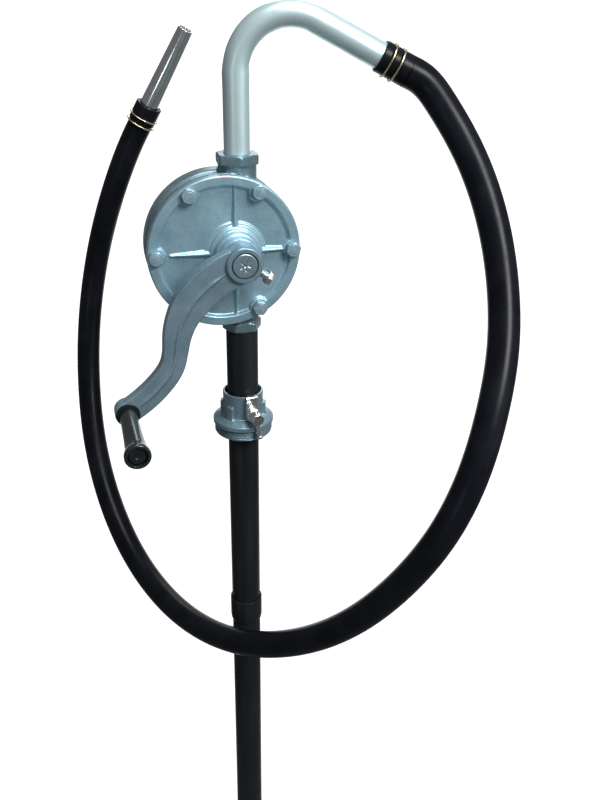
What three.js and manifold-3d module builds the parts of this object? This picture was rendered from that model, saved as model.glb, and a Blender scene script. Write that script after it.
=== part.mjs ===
// Rotary hand transfer pump for a drum: an eccentric vane pump on a sliding suction pipe,
// cranked by hand, with a gooseneck spout, a rubber hose and a straight delivery nozzle.
// Millimetres, +Z up. The origin is the centre of the bung adapter's sealing face, on the
// suction pipe's axis; X runs to the right and Y to the back, seen from the crank side.
import * as THREE from "three";
import { mergeVertices } from "three/addons/utils/BufferGeometryUtils.js";
import Module from "manifold-3d";

const wasm = await Module();
wasm.setup();

// ---- Driving dimensions ----

// Clearances
const RUNNING = 0.12; // a turning shaft in its bush, on the radius
const FIT = 0.3; // between pieces that touch
const SLIDING = 0.35; // the suction pipe in the adapter, on the radius

// Where the shaft lies, and the pumping chamber beside it
const SHAFT_HEIGHT = 190.5;
const SHAFT_X = -9.8;
const ECCENTRICITY = 10.2;
const CHAMBER_X = SHAFT_X - ECCENTRICITY;

// Casing and cover
const JOINT_Y = -18;
const CASING_RADIUS = 72.2;
const CASING_BODY_RADIUS = CASING_RADIUS - 1;
const CASING_FLANGE = 4.5;
const CHANNEL_DEPTH = 5;
const CHANNEL_WIDTH = 15;
const CHANNEL_SLOPE = 2;
const CASING_DEPTH = 41;
const BACK_WALL = 8;
const BACK_ROUNDING = 5;
const CHAMBER_RADIUS = 53;
const REAR_BOSS_RADIUS = 19;
const REAR_BOSS_HEIGHT = 11;
const GASKET_THICKNESS = 0.5;
const COVER_THICKNESS = 7.6;
const COVER_RIM_WIDTH = 9;
const COVER_EDGE_CHAMFER = 1;
const COVER_RECESS = 3.8;
const COVER_RIB_WIDTH = 5;
const BOSS_STEPS = [
  { radius: 28.6, height: 1.6 },
  { radius: 24.6, height: 4.6 },
  { radius: 20.4, height: 12 },
  { radius: 18.2, height: 22.1 },
];

// Cover bolts
const BOLT_COUNT = 6;
const BOLT_CIRCLE_RADIUS = CASING_RADIUS - 7.4;
const BOLT_SHANK_RADIUS = 3.8;
const BOLT_ACROSS_FLATS = 13;
const BOLT_HEAD_HEIGHT = 5.3;
const BOLT_DEPTH = 8.8;
const BOLT_BOSS_RADIUS = 9.2;

// Ports: the outlet above the chamber and the inlet below it
const OUTLET_X = -2;
const INLET_X = 0;
const PORT_RADIUS = 10.5;
const PORT_HEIGHT = CASING_RADIUS + 14.3;
const OUTLET_NECK_RADIUS = 18;
const OUTLET_ACROSS_FLATS = 36.8;
const INLET_NECK_RADIUS = 17;
const INLET_ACROSS_FLATS = 34.8;
const HEX_HEIGHT = 10;
const SOCKET_DEPTH = 15;

// Shaft, bushes, seal, rotor and vanes
const SHAFT_RADIUS = 11.4;
const BUSH_RADIUS = 13.8;
const REAR_BUSH_LENGTH = 15;
const FRONT_BUSH_LENGTH = 16;
const SEAL_LENGTH = 6;
const ROTOR_RADIUS = 42.2;
const VANE_COUNT = 4;
const VANE_THICKNESS = 5.4;
const VANE_DEPTH = 18.4;
const SPRING_POCKET_RADIUS = 3.6;
const SPRING_POCKET_FLOOR = 15.2;
const SPRING_COIL_RADIUS = 2.5;
const SPRING_WIRE_RADIUS = 0.5;
const SPRING_TURNS = 3;

// Crank: hub, curved arm, handle boss
const HUB_RADIUS = 17.3;
const HUB_LENGTH = 22;
const HUB_GAP = 1;
const ARM_THICKNESS = 12;
const ARM_SETBACK = 4;
const HANDLE_X = -113.4;
const HANDLE_Z = -138;
const HANDLE_BOSS_RADIUS = 12;
const HANDLE_BOSS_LENGTH = 14;
const SET_BOLT_ANGLE = -0.6;
const SET_BOLT_NECK = 9.5;

// Handle: spindle, washer and hollow grip
const SPINDLE_RADIUS = 5;
const SPINDLE_HEAD_RADIUS = 8;
const SPINDLE_HEAD_THICKNESS = 2.4;
const WASHER_THICKNESS = 1.6;
const GRIP_LENGTH = 80;
const GRIP_SMALL_RADIUS = 8.3;
const GRIP_RIM_RADIUS = 12;
const GRIP_RECESS_RADIUS = 9;
const GRIP_RECESS_DEPTH = 5;

// Suction pipe: three lengths joined by sleeves
const PIPE_RADIUS = 16;
const PIPE_WALL = 2;
const PIPE_THREAD_RADIUS = 13.4;
const PIPE_THREAD_LENGTH = 13;
const PIPE_LENGTH = 350;
const PIPE_COUNT = 3;
const SLEEVE_LENGTH = 30;
const SLEEVE_WALL = 1.6;
const FOOT_NOTCH = 12;

// Bung adapter and the ring that seals it on the pipe
const ADAPTER_HEIGHT = 35;
const ADAPTER_FLANGE_RADIUS = 31.3;
const ADAPTER_FLANGE_HEIGHT = 8;
const ADAPTER_FLANGE_RIM = 4.5;
const ADAPTER_THREAD_RADIUS = 29.8;
const ADAPTER_THREAD_LENGTH = 11;
const ADAPTER_COLLAR_RADIUS = 20.8;
const ADAPTER_MOUTH_RADIUS = 18.8;
const ADAPTER_MOUTH_DEPTH = 6;
const LUG_COUNT = 6;
const LUG_WIDTH = 7;
const LUG_REACH = 2.4;
const LUG_TOP = 22.5;
const SEAL_RING_HEIGHT = 5;
const SEAL_RING_REACH = 2.4;
const SEAL_RING_SEAT = 2;

// Clamp screw in the adapter, its pad, strap and tommy bar
const CLAMP_ANGLE = 0.18;
const CLAMP_HEIGHT = 17.5;
const CLAMP_SHANK_RADIUS = 3.9;
const CLAMP_PAD_LENGTH = 1.6;
const CLAMP_COLLAR_RADIUS = 7.2;
const CLAMP_COLLAR_LENGTH = 3;
const CLAMP_HEAD_ACROSS_FLATS = 12.4;
const CLAMP_HEAD_LENGTH = 13;
const STRAP_THICKNESS = 1.5;
const STRAP_WIDTH = 13;
const BAR_RADIUS = 2.4;
const BAR_LENGTH = 33;
const BAR_KNOB_RADIUS = 3.2;
const BAR_KNOB_LENGTH = 2.6;
const BAR_LEAN = -0.16;
const BAR_SETBACK = 6;

// Gooseneck spout
const SPOUT_RADIUS = 12.1;
const SPOUT_WALL = 1.5;
const SPOUT_BEND_HEIGHT = 156.7;
const SPOUT_BEND_RADIUS = 49.1;
const SPOUT_BEND_ANGLE = 2.043;
const SPOUT_TURN = 0.21;
const SPOUT_REACH = 91.5;

// Hose, its ends, the wire clamps on them and the nozzle
const HOSE_RADIUS = 14.5;
const SPOUT_HOSE_END_RADIUS = 14.4;
const NOZZLE_HOSE_END_RADIUS = 15.5;
const HOSE_END_LENGTH = 28;
const WIRE_RADIUS = 0.9;
const WIRE_SPACING = 8.6;
const WIRE_LUG = 6;
const WIRE_SCREW_RADIUS = 1.5;
const SPOUT_CLAMP_FROM_MOUTH = 13.2;
const NOZZLE_CLAMP_FROM_MOUTH = 19.5;
const SPOUT_LUG_TURN = 0.784;
const NOZZLE_LUG_TURN = 1.551;
const NOZZLE_BASE_RADIUS = 11.2;
const NOZZLE_TIP_RADIUS = 8.9;
const NOZZLE_WALL = 1.2;
const NOZZLE_LENGTH = 98;

// The hose's route, from the spout's end to the nozzle's, above the shaft's height
const HOSE_ROUTE = [
  [176, -46, 133],
  [199, -73, 87],
  [211, -102, 38],
  [213, -131, -13],
  [204, -162, -61],
  [186, -190, -107],
  [165, -209, -157],
  [141, -212, -214],
  [112, -196, -277],
  [75, -161, -346],
  [30, -107, -409],
  [-23, -38, -453],
  [-74, 43, -465],
  [-112, 121, -443],
  [-136, 192, -398],
  [-147, 254, -339],
  [-146, 304, -269],
  [-136, 334, -191],
  [-118, 339, -107],
  [-93, 318, -21],
];
const NOZZLE_MOUTH = new THREE.Vector3(-45.8, 298, 82.4);
const NOZZLE_DIRECTION = new THREE.Vector3(0.445, -0.2115, 0.87).normalize();

// ---- Solids ----

const UP = new THREE.Vector3(0, 0, 1);
const FULL_TURN = 2 * Math.PI;
const PAST = 1; // how far a cutter runs past the face that it cuts

// A closed geometry as a manifold-3d solid, turned right way out if its faces point inwards.
function solid(geometry) {
  const bare = geometry.index ? geometry.toNonIndexed() : geometry.clone();
  bare.deleteAttribute("normal");
  bare.deleteAttribute("uv");
  const merged = mergeVertices(bare, 1e-4);
  const corners = merged.index.array;
  const kept = [];
  for (let i = 0; i < corners.length; i += 3) {
    const [a, b, c] = corners.slice(i, i + 3);
    if (a !== b && b !== c && c !== a) kept.push(a, b, c);
  }
  const build = (triVerts) =>
    new wasm.Manifold(
      new wasm.Mesh({
        numProp: 3,
        vertProperties: merged.attributes.position.array,
        triVerts: new Uint32Array(triVerts),
      }),
    );
  const made = build(kept);
  return made.volume() < 0 ? build(kept.reverse()) : made;
}

// A solid as a three.js geometry again.
function geometryOf(body) {
  const mesh = body.getMesh();
  const positions = new Float32Array(mesh.numVert * 3);
  for (let i = 0; i < mesh.numVert; i += 1) {
    const start = i * mesh.numProp;
    positions.set(mesh.vertProperties.subarray(start, start + 3), i * 3);
  }
  const geometry = new THREE.BufferGeometry();
  geometry.setAttribute("position", new THREE.BufferAttribute(positions, 3));
  geometry.setIndex(new THREE.BufferAttribute(mesh.triVerts, 1));
  geometry.computeVertexNormals();
  return geometry;
}

// A profile of [radius, place along the axis] turned around +Y.
function turned(profile, sides = 28) {
  const points = profile.map(([radius, along]) => new THREE.Vector2(radius, along));
  points.push(points[0].clone());
  return new THREE.LatheGeometry(points, sides);
}

// A round bar, or a ring when it has a bore, from one place on +Y to another.
function round(radius, from, to, { bore = 0, sides = 28 } = {}) {
  const profile = [
    [bore, from],
    [radius, from],
    [radius, to],
    [bore, to],
  ];
  return turned(profile, sides);
}

// A hexagonal bar along +Y, with a corner towards +Z.
function hexBar(acrossFlats, from, to) {
  const corner = acrossFlats / Math.sqrt(3);
  const bar = new THREE.CylinderGeometry(corner, corner, to - from, 6);
  return bar.translate(0, (from + to) / 2, 0);
}

// A box between two corners.
function block(low, high) {
  const size = high.map((value, i) => value - low[i]);
  const middle = high.map((value, i) => (value + low[i]) / 2);
  return new THREE.BoxGeometry(...size).translate(...middle);
}

// Turns a shape made along +Y so that it lies along +Z.
const upright = (geometry) => geometry.rotateX(Math.PI / 2);

// Turns a shape made along +Y so that it lies along a direction, and starts at a point.
function along(geometry, direction, start) {
  const turn = new THREE.Quaternion();
  turn.setFromUnitVectors(new THREE.Vector3(0, 1, 0), direction);
  return geometry.applyQuaternion(turn).translate(start.x, start.y, start.z);
}

// A round tube along a curve, closed at both ends.
function tube(curve, radius, steps, sides) {
  const section = new THREE.Shape();
  for (let i = 0; i < sides; i += 1) {
    const angle = (FULL_TURN * i) / sides;
    const corner = [radius * Math.cos(angle), radius * Math.sin(angle)];
    if (i) section.lineTo(...corner);
    else section.moveTo(...corner);
  }
  return new THREE.ExtrudeGeometry(section, { steps, extrudePath: curve });
}

// ---- Materials and the scene graph ----

const finish = (color, roughness, metalness) => ({ color, roughness, metalness });
const CAST = finish(0x7f97a3, 0.45, 0.7);
const GALVANISED = finish(0xb5cdd0, 0.35, 0.8);
const PIPE_BLACK = finish(0x1c2022, 0.5, 0.1);
const RUBBER = finish(0x0b0c10, 0.35, 0);
const STEEL = finish(0x9aa0a4, 0.3, 1);
const NICKEL = finish(0xd8d6cc, 0.2, 1);
const BRASS = finish(0xc9a95a, 0.3, 1);
const BRONZE = finish(0xa87a48, 0.4, 1);
const PLASTIC = finish(0x1b2422, 0.25, 0);
const CARBON = finish(0x2a2a2c, 0.6, 0);
const FIBRE = finish(0x6d5a3f, 0.9, 0);

const pump = new THREE.Group(); // the part's own frame
const head = new THREE.Group(); // the shaft's axis is this group's Y axis
head.position.set(SHAFT_X, 0, SHAFT_HEIGHT);
const chamber = new THREE.Group(); // the chamber's axis is this group's Y axis
chamber.position.set(-ECCENTRICITY, 0, 0);
head.add(chamber);
const clamp = new THREE.Group(); // +Y runs out along the clamp screw
clamp.position.set(0, 0, CLAMP_HEIGHT);
clamp.rotation.z = Math.PI + CLAMP_ANGLE;
pump.add(head, clamp);

function piece(name, shape, material, parent = pump) {
  const geometry = shape instanceof THREE.BufferGeometry ? geometryOf(solid(shape)) : geometryOf(shape);
  const mesh = new THREE.Mesh(geometry, new THREE.MeshStandardMaterial(material));
  mesh.name = name;
  parent.add(mesh);
  return mesh;
}

// ---- Casing: drum-shaped body with an outlet above, an inlet below and a rear boss ----

const CASING_BACK = JOINT_Y + CASING_DEPTH;
const CHAMBER_BACK = CASING_BACK - BACK_WALL;
const OUTLET_PLACE = OUTLET_X - CHAMBER_X;
const INLET_PLACE = INLET_X - CHAMBER_X;
const SPOUT_BORE = SPOUT_RADIUS + FIT;
const PIPE_BORE = PIPE_THREAD_RADIUS + FIT;

// A drum with a thin flange at the joint and a shallow channel behind the flange.
function casingShell() {
  const roundingCentre = CASING_BODY_RADIUS - BACK_ROUNDING;
  const channelFloor = CASING_BODY_RADIUS - CHANNEL_DEPTH;
  const corner = Array.from({ length: 4 }, (_, i) => {
    const angle = (Math.PI / 2) * (i / 3);
    return [
      roundingCentre + BACK_ROUNDING * Math.cos(angle),
      CASING_BACK - BACK_ROUNDING + BACK_ROUNDING * Math.sin(angle),
    ];
  });
  const profile = [
    [0, JOINT_Y],
    [CASING_RADIUS, JOINT_Y],
    [CASING_RADIUS, JOINT_Y + CASING_FLANGE],
    [channelFloor, JOINT_Y + CASING_FLANGE + CHANNEL_SLOPE],
    [channelFloor, JOINT_Y + CASING_FLANGE + CHANNEL_WIDTH],
    [CASING_BODY_RADIUS, JOINT_Y + CASING_FLANGE + CHANNEL_WIDTH + CHANNEL_SLOPE],
    ...corner,
    [0, CASING_BACK],
  ];
  return solid(turned(profile, 40));
}

// A port's neck and hexagon, rising (or hanging, when turned over) from the chamber. The outlet
// has a corner of its hexagon in front, and the inlet a flat.
function port(place, over, neckRadius, acrossFlats) {
  const neck = upright(round(neckRadius, CHAMBER_RADIUS, PORT_HEIGHT));
  const hexagon = hexBar(acrossFlats, PORT_HEIGHT - HEX_HEIGHT, PORT_HEIGHT);
  if (over) hexagon.rotateY(Math.PI / 6);
  upright(hexagon);
  const both = [neck, hexagon].map((shape) => {
    if (over) shape.rotateX(Math.PI);
    return solid(shape.translate(place, 0, 0));
  });
  return both[0].add(both[1]);
}

function portBore(place, over, socketRadius) {
  const passage = upright(round(PORT_RADIUS, CHAMBER_RADIUS / 2, PORT_HEIGHT + PAST, { sides: 24 }));
  const socket = upright(
    round(socketRadius, PORT_HEIGHT - SOCKET_DEPTH, PORT_HEIGHT + PAST, { sides: 24 }),
  );
  const both = [passage, socket].map((shape) => {
    if (over) shape.rotateX(Math.PI);
    return solid(shape.translate(place, 0, 0));
  });
  return both[0].add(both[1]);
}

function onBoltCircle(shape, index) {
  const angle = (FULL_TURN * index) / BOLT_COUNT;
  return shape.translate(
    BOLT_CIRCLE_RADIUS * Math.cos(angle),
    0,
    BOLT_CIRCLE_RADIUS * Math.sin(angle),
  );
}

function casing() {
  const rearBoss = round(REAR_BOSS_RADIUS, CHAMBER_BACK, CASING_BACK + REAR_BOSS_HEIGHT, { sides: 24 });
  const rearBore = round(BUSH_RADIUS + RUNNING, CHAMBER_BACK - PAST, CHAMBER_BACK + REAR_BUSH_LENGTH, {
    sides: 28,
  });
  let body = casingShell()
    .add(solid(rearBoss.translate(ECCENTRICITY, 0, 0)))
    .add(port(OUTLET_PLACE, false, OUTLET_NECK_RADIUS, OUTLET_ACROSS_FLATS))
    .add(port(INLET_PLACE, true, INLET_NECK_RADIUS, INLET_ACROSS_FLATS))
    .subtract(solid(round(CHAMBER_RADIUS, JOINT_Y - PAST, CHAMBER_BACK, { sides: 40 })))
    .subtract(solid(rearBore.translate(ECCENTRICITY, 0, 0)))
    .subtract(portBore(OUTLET_PLACE, false, SPOUT_BORE))
    .subtract(portBore(INLET_PLACE, true, PIPE_BORE));
  for (let i = 0; i < BOLT_COUNT; i += 1) {
    const hole = round(BOLT_SHANK_RADIUS + FIT, JOINT_Y - PAST, JOINT_Y + BOLT_DEPTH + FIT, { sides: 12 });
    body = body.subtract(solid(onBoltCircle(hole, i)));
  }
  return body;
}
piece("casing", casing(), CAST, chamber);

// ---- Gasket and cover ----

const GASKET_FRONT = JOINT_Y - FIT - GASKET_THICKNESS;
const COVER_BACK = GASKET_FRONT - FIT;
const COVER_FRONT = COVER_BACK - COVER_THICKNESS;
const COVER_PANEL = COVER_FRONT + COVER_RECESS;
const BOSS_FRONT = COVER_PANEL - BOSS_STEPS[BOSS_STEPS.length - 1].height;

function gasket() {
  let ring = solid(round(CASING_RADIUS - FIT, GASKET_FRONT, JOINT_Y - FIT, { bore: CHAMBER_RADIUS + FIT, sides: 40 }));
  for (let i = 0; i < BOLT_COUNT; i += 1) {
    const hole = round(BOLT_SHANK_RADIUS + FIT, GASKET_FRONT - PAST, JOINT_Y + PAST, { sides: 12 });
    ring = ring.subtract(solid(onBoltCircle(hole, i)));
  }
  return ring;
}
piece("cover_gasket", gasket(), FIBRE, chamber);

// A thin rib from the rim to the shaft boss, wider and higher at the boss.
function rib(angle) {
  const reach = CASING_RADIUS - COVER_RIM_WIDTH / 2 - ECCENTRICITY;
  const outline = new THREE.Shape();
  outline.moveTo(BOSS_STEPS[2].radius, -COVER_RIB_WIDTH / 2);
  outline.lineTo(reach, -COVER_RIB_WIDTH / 6);
  outline.lineTo(reach, COVER_RIB_WIDTH / 6);
  outline.lineTo(BOSS_STEPS[2].radius, COVER_RIB_WIDTH / 2);
  const shape = new THREE.ExtrudeGeometry(outline, { depth: COVER_RECESS, bevelEnabled: false });
  shape.rotateX(Math.PI / 2).rotateY(angle);
  return solid(shape.translate(ECCENTRICITY, COVER_PANEL + COVER_RECESS / 2, 0));
}

function cover() {
  const rimInner = CASING_RADIUS - COVER_RIM_WIDTH;
  const plate = turned(
    [
      [0, COVER_BACK],
      [CASING_RADIUS, COVER_BACK],
      [CASING_RADIUS, COVER_FRONT + COVER_EDGE_CHAMFER],
      [CASING_RADIUS - COVER_EDGE_CHAMFER, COVER_FRONT],
      [rimInner, COVER_FRONT],
      [rimInner - 1, COVER_PANEL],
      [0, COVER_PANEL],
    ],
    40,
  );
  const withinRim = solid(
    round(rimInner + COVER_RIM_WIDTH / 2, COVER_PANEL + 2 * PAST, COVER_FRONT - PAST, { sides: 40 }),
  );
  let body = solid(plate);
  for (const { radius, height } of BOSS_STEPS) {
    const step = round(radius, COVER_PANEL + PAST, COVER_PANEL - height);
    body = body.add(solid(step.translate(ECCENTRICITY, 0, 0)));
  }
  for (let quarter = 0; quarter < 4; quarter += 1) body = body.add(rib((quarter * Math.PI) / 2));
  for (let i = 0; i < BOLT_COUNT; i += 1) {
    const boss = round(BOLT_BOSS_RADIUS, COVER_PANEL + PAST, COVER_FRONT, { sides: 16 });
    body = body.add(solid(onBoltCircle(boss, i)).intersect(withinRim));
  }
  for (let i = 0; i < BOLT_COUNT; i += 1) {
    const hole = round(BOLT_SHANK_RADIUS + FIT, COVER_BACK + PAST, COVER_FRONT - PAST, { sides: 12 });
    body = body.subtract(solid(onBoltCircle(hole, i)));
  }
  const bushBore = round(BUSH_RADIUS + RUNNING, COVER_BACK + PAST, BOSS_FRONT + PAST, { sides: 24 });
  const shaftHole = round(SHAFT_RADIUS + FIT, COVER_BACK + PAST, BOSS_FRONT - PAST, { sides: 24 });
  return body
    .subtract(solid(bushBore.translate(ECCENTRICITY, 0, 0)))
    .subtract(solid(shaftHole.translate(ECCENTRICITY, 0, 0)));
}
piece("cover", cover(), CAST, chamber);

function coverBolt(index) {
  const shank = round(BOLT_SHANK_RADIUS, JOINT_Y + BOLT_DEPTH, COVER_FRONT - FIT - PAST, { sides: 12 });
  const head = hexBar(BOLT_ACROSS_FLATS, COVER_FRONT - FIT - BOLT_HEAD_HEIGHT, COVER_FRONT - FIT);
  return solid(onBoltCircle(shank, index)).add(solid(onBoltCircle(head, index)));
}
for (let i = 0; i < BOLT_COUNT; i += 1) piece(`cover_bolt_${i + 1}`, coverBolt(i), CAST, chamber);

// ---- Bushes and seal that the shaft turns in ----

const ROTOR_BACK = CHAMBER_BACK - FIT;
const ROTOR_FRONT = COVER_BACK + FIT;
const SHAFT_BACK = CHAMBER_BACK + REAR_BUSH_LENGTH - FIT;
const HUB_BACK = BOSS_FRONT - HUB_GAP;
const HUB_FRONT = HUB_BACK - HUB_LENGTH;
const bushBore = { bore: SHAFT_RADIUS + RUNNING, sides: 28 };

const rearBush = round(BUSH_RADIUS, CHAMBER_BACK + FIT, CHAMBER_BACK + REAR_BUSH_LENGTH - FIT, bushBore);
piece("rear_bush", rearBush, BRONZE, head);
const FRONT_BUSH_BACK = COVER_BACK - FIT;
const FRONT_BUSH_FRONT = FRONT_BUSH_BACK - FRONT_BUSH_LENGTH;
piece("front_bush", round(BUSH_RADIUS, FRONT_BUSH_BACK, FRONT_BUSH_FRONT, bushBore), BRONZE, head);
const SEAL_BACK = FRONT_BUSH_FRONT - FIT;
piece("shaft_seal", round(BUSH_RADIUS, SEAL_BACK, SEAL_BACK - SEAL_LENGTH, bushBore), RUBBER, head);

// ---- Shaft, rotor, vanes and their springs ----

const KEY_WIDTH = 5;
const KEY_HEIGHT = 2.4;

function shaft() {
  const bar = solid(round(SHAFT_RADIUS, SHAFT_BACK - FIT, HUB_FRONT - FIT, { sides: 24 }));
  const slot = block(
    [-KEY_WIDTH / 2, ROTOR_FRONT + FIT, SHAFT_RADIUS - KEY_HEIGHT],
    [KEY_WIDTH / 2, ROTOR_BACK - FIT, SHAFT_RADIUS + PAST],
  );
  return bar.subtract(solid(slot));
}
piece("shaft", shaft(), STEEL, head);

const key = block(
  [-KEY_WIDTH / 2 + FIT / 2, ROTOR_FRONT + 2 * FIT, SHAFT_RADIUS - KEY_HEIGHT + FIT / 2],
  [KEY_WIDTH / 2 - FIT / 2, ROTOR_BACK - 2 * FIT, SHAFT_RADIUS + KEY_HEIGHT - FIT / 2],
);
piece("rotor_key", key, STEEL, head);

const VANE_TURN = Math.PI / VANE_COUNT;
const ROTOR_MIDDLE = (ROTOR_FRONT + ROTOR_BACK) / 2;
const VANE_FOOT = ROTOR_RADIUS - FIT - VANE_DEPTH;
const SLOT_FLOOR = VANE_FOOT - FIT;
const vaneAngle = (index) => VANE_TURN + (FULL_TURN * index) / VANE_COUNT;

function rotor() {
  let body = solid(
    round(ROTOR_RADIUS, ROTOR_FRONT, ROTOR_BACK, { bore: SHAFT_RADIUS + FIT, sides: 40 }),
  );
  const keyway = block(
    [-KEY_WIDTH / 2, ROTOR_FRONT - PAST, 0],
    [KEY_WIDTH / 2, ROTOR_BACK + PAST, SHAFT_RADIUS + KEY_HEIGHT],
  );
  body = body.subtract(solid(keyway));
  for (let i = 0; i < VANE_COUNT; i += 1) {
    const slot = block(
      [SLOT_FLOOR, ROTOR_FRONT - PAST, -VANE_THICKNESS / 2 - FIT],
      [ROTOR_RADIUS + PAST, ROTOR_BACK + PAST, VANE_THICKNESS / 2 + FIT],
    );
    const pocket = round(SPRING_POCKET_RADIUS, SPRING_POCKET_FLOOR, SLOT_FLOOR + PAST, { sides: 12 });
    pocket.rotateZ(-Math.PI / 2).translate(0, ROTOR_MIDDLE, 0);
    const cut = solid(slot.rotateY(vaneAngle(i))).add(solid(pocket.rotateY(vaneAngle(i))));
    body = body.subtract(cut);
  }
  return body;
}
piece("rotor", rotor(), CAST, head);

function spring() {
  const bottom = SPRING_POCKET_FLOOR + FIT + SPRING_WIRE_RADIUS;
  const top = VANE_FOOT - FIT - SPRING_WIRE_RADIUS;
  class Coil extends THREE.Curve {
    getPoint(t) {
      const angle = FULL_TURN * SPRING_TURNS * t;
      return new THREE.Vector3(
        bottom + (top - bottom) * t,
        ROTOR_MIDDLE + SPRING_COIL_RADIUS * Math.cos(angle),
        SPRING_COIL_RADIUS * Math.sin(angle),
      );
    }
  }
  return tube(new Coil(), SPRING_WIRE_RADIUS, SPRING_TURNS * 6, 4);
}

for (let i = 0; i < VANE_COUNT; i += 1) {
  const blade = block(
    [VANE_FOOT, ROTOR_FRONT + FIT / 2, -VANE_THICKNESS / 2],
    [ROTOR_RADIUS - FIT, ROTOR_BACK - FIT / 2, VANE_THICKNESS / 2],
  );
  piece(`vane_${i + 1}`, blade.rotateY(vaneAngle(i)), CARBON, head);
  piece(`vane_spring_${i + 1}`, spring().rotateY(vaneAngle(i)), STEEL, head);
}

// ---- Crank: one casting with a hub, an S-shaped arm and a handle boss ----

const ARM_FRONT = HUB_FRONT + ARM_SETBACK;
const ARM_BACK = ARM_FRONT + ARM_THICKNESS;
const BOSS_BACK = ARM_BACK + (HANDLE_BOSS_LENGTH - ARM_THICKNESS);

// The arm's centre line from the hub to the handle boss, with the half width at each point;
// x and z are shares of the handle's offset from the shaft.
const ARM_LINE = [
  { x: 0.0, z: 0.0, half: 17.2 },
  { x: 0.165, z: 0.06, half: 17.7 },
  { x: 0.306, z: 0.143, half: 17.4 },
  { x: 0.443, z: 0.259, half: 16.3 },
  { x: 0.523, z: 0.377, half: 14.3 },
  { x: 0.562, z: 0.489, half: 12.8 },
  { x: 0.579, z: 0.587, half: 11.7 },
  { x: 0.614, z: 0.692, half: 11.4 },
  { x: 0.706, z: 0.801, half: 11.5 },
  { x: 0.833, z: 0.902, half: 11.6 },
  { x: 1.0, z: 1.0, half: 11.4 },
];

function armOutline() {
  const centre = new THREE.SplineCurve(
    ARM_LINE.map(({ x, z }) => new THREE.Vector2(x * HANDLE_X, z * HANDLE_Z)),
  );
  const halfWidth = new THREE.SplineCurve(ARM_LINE.map(({ half }, i) => new THREE.Vector2(i, half)));
  const steps = 2 * (ARM_LINE.length - 1);
  const sides = [[], []];
  for (let i = 0; i <= steps; i += 1) {
    const t = i / steps;
    const point = centre.getPoint(t);
    const tangent = centre.getTangent(t);
    const half = halfWidth.getPoint(t).y;
    sides[0].push(new THREE.Vector2(point.x - tangent.y * half, point.y + tangent.x * half));
    sides[1].unshift(new THREE.Vector2(point.x + tangent.y * half, point.y - tangent.x * half));
  }
  return new THREE.Shape([...sides[0], ...sides[1]]);
}

const SET_BOLT_Y = HUB_BACK - HUB_LENGTH * 0.4;
const SET_BOLT_OUT = new THREE.Vector3(Math.cos(SET_BOLT_ANGLE), 0, Math.sin(SET_BOLT_ANGLE));
const SET_BOLT_START = new THREE.Vector3(0, SET_BOLT_Y, 0);

function crankArm() {
  const arm = new THREE.ExtrudeGeometry(armOutline(), { depth: ARM_THICKNESS, bevelEnabled: false });
  arm.rotateX(Math.PI / 2).translate(0, ARM_BACK, 0);
  const boss = round(HANDLE_BOSS_RADIUS, ARM_FRONT, BOSS_BACK, { sides: 24 });
  boss.translate(HANDLE_X, 0, HANDLE_Z);
  const pinHole = round(SPINDLE_RADIUS + FIT / 2, ARM_FRONT - PAST, BOSS_BACK + PAST, { sides: 20 });
  pinHole.translate(HANDLE_X, 0, HANDLE_Z);
  const shaftHole = round(SHAFT_RADIUS + FIT, HUB_FRONT - PAST, HUB_BACK + PAST, { sides: 24 });
  const boltHole = round(BOLT_SHANK_RADIUS + FIT, 0, HUB_RADIUS + PAST, { sides: 12 });
  return solid(arm)
    .add(solid(round(HUB_RADIUS, HUB_BACK, HUB_FRONT, { sides: 40 })))
    .add(solid(boss))
    .subtract(solid(shaftHole))
    .subtract(solid(pinHole))
    .subtract(solid(along(boltHole, SET_BOLT_OUT, SET_BOLT_START)));
}
piece("crank_arm", crankArm(), CAST, head);

function setBolt() {
  const headStart = HUB_RADIUS + SET_BOLT_NECK;
  const shank = round(BOLT_SHANK_RADIUS, SHAFT_RADIUS + FIT, headStart + PAST, { sides: 12 });
  const head = hexBar(BOLT_ACROSS_FLATS, headStart, headStart + BOLT_HEAD_HEIGHT);
  return [shank, head]
    .map((shape) => solid(along(shape, SET_BOLT_OUT, SET_BOLT_START)))
    .reduce((whole, next) => whole.add(next));
}
piece("crank_set_bolt", setBolt(), NICKEL, head);

// ---- Handle: spindle fixed in the arm, washer, and a grip that turns on the spindle ----

const handle = new THREE.Group();
handle.position.set(HANDLE_X, ARM_FRONT, HANDLE_Z);
head.add(handle);
const WASHER_FRONT = -FIT - WASHER_THICKNESS;
const GRIP_BACK = WASHER_FRONT - FIT;
const GRIP_FRONT = GRIP_BACK - GRIP_LENGTH;
const RECESS_FLOOR = GRIP_FRONT + GRIP_RECESS_DEPTH;

const spindle = turned(
  [
    [0, HANDLE_BOSS_LENGTH],
    [SPINDLE_RADIUS, HANDLE_BOSS_LENGTH],
    [SPINDLE_RADIUS, RECESS_FLOOR - FIT],
    [SPINDLE_HEAD_RADIUS, RECESS_FLOOR - FIT],
    [SPINDLE_HEAD_RADIUS, RECESS_FLOOR - FIT - SPINDLE_HEAD_THICKNESS],
    [0, RECESS_FLOOR - FIT - SPINDLE_HEAD_THICKNESS],
  ],
  28,
);
piece("handle_spindle", spindle, STEEL, handle);
const washer = round(HANDLE_BOSS_RADIUS - 0.6, -FIT, WASHER_FRONT, {
  bore: SPINDLE_RADIUS + FIT,
  sides: 28,
});
piece("handle_washer", washer, STEEL, handle);

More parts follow.
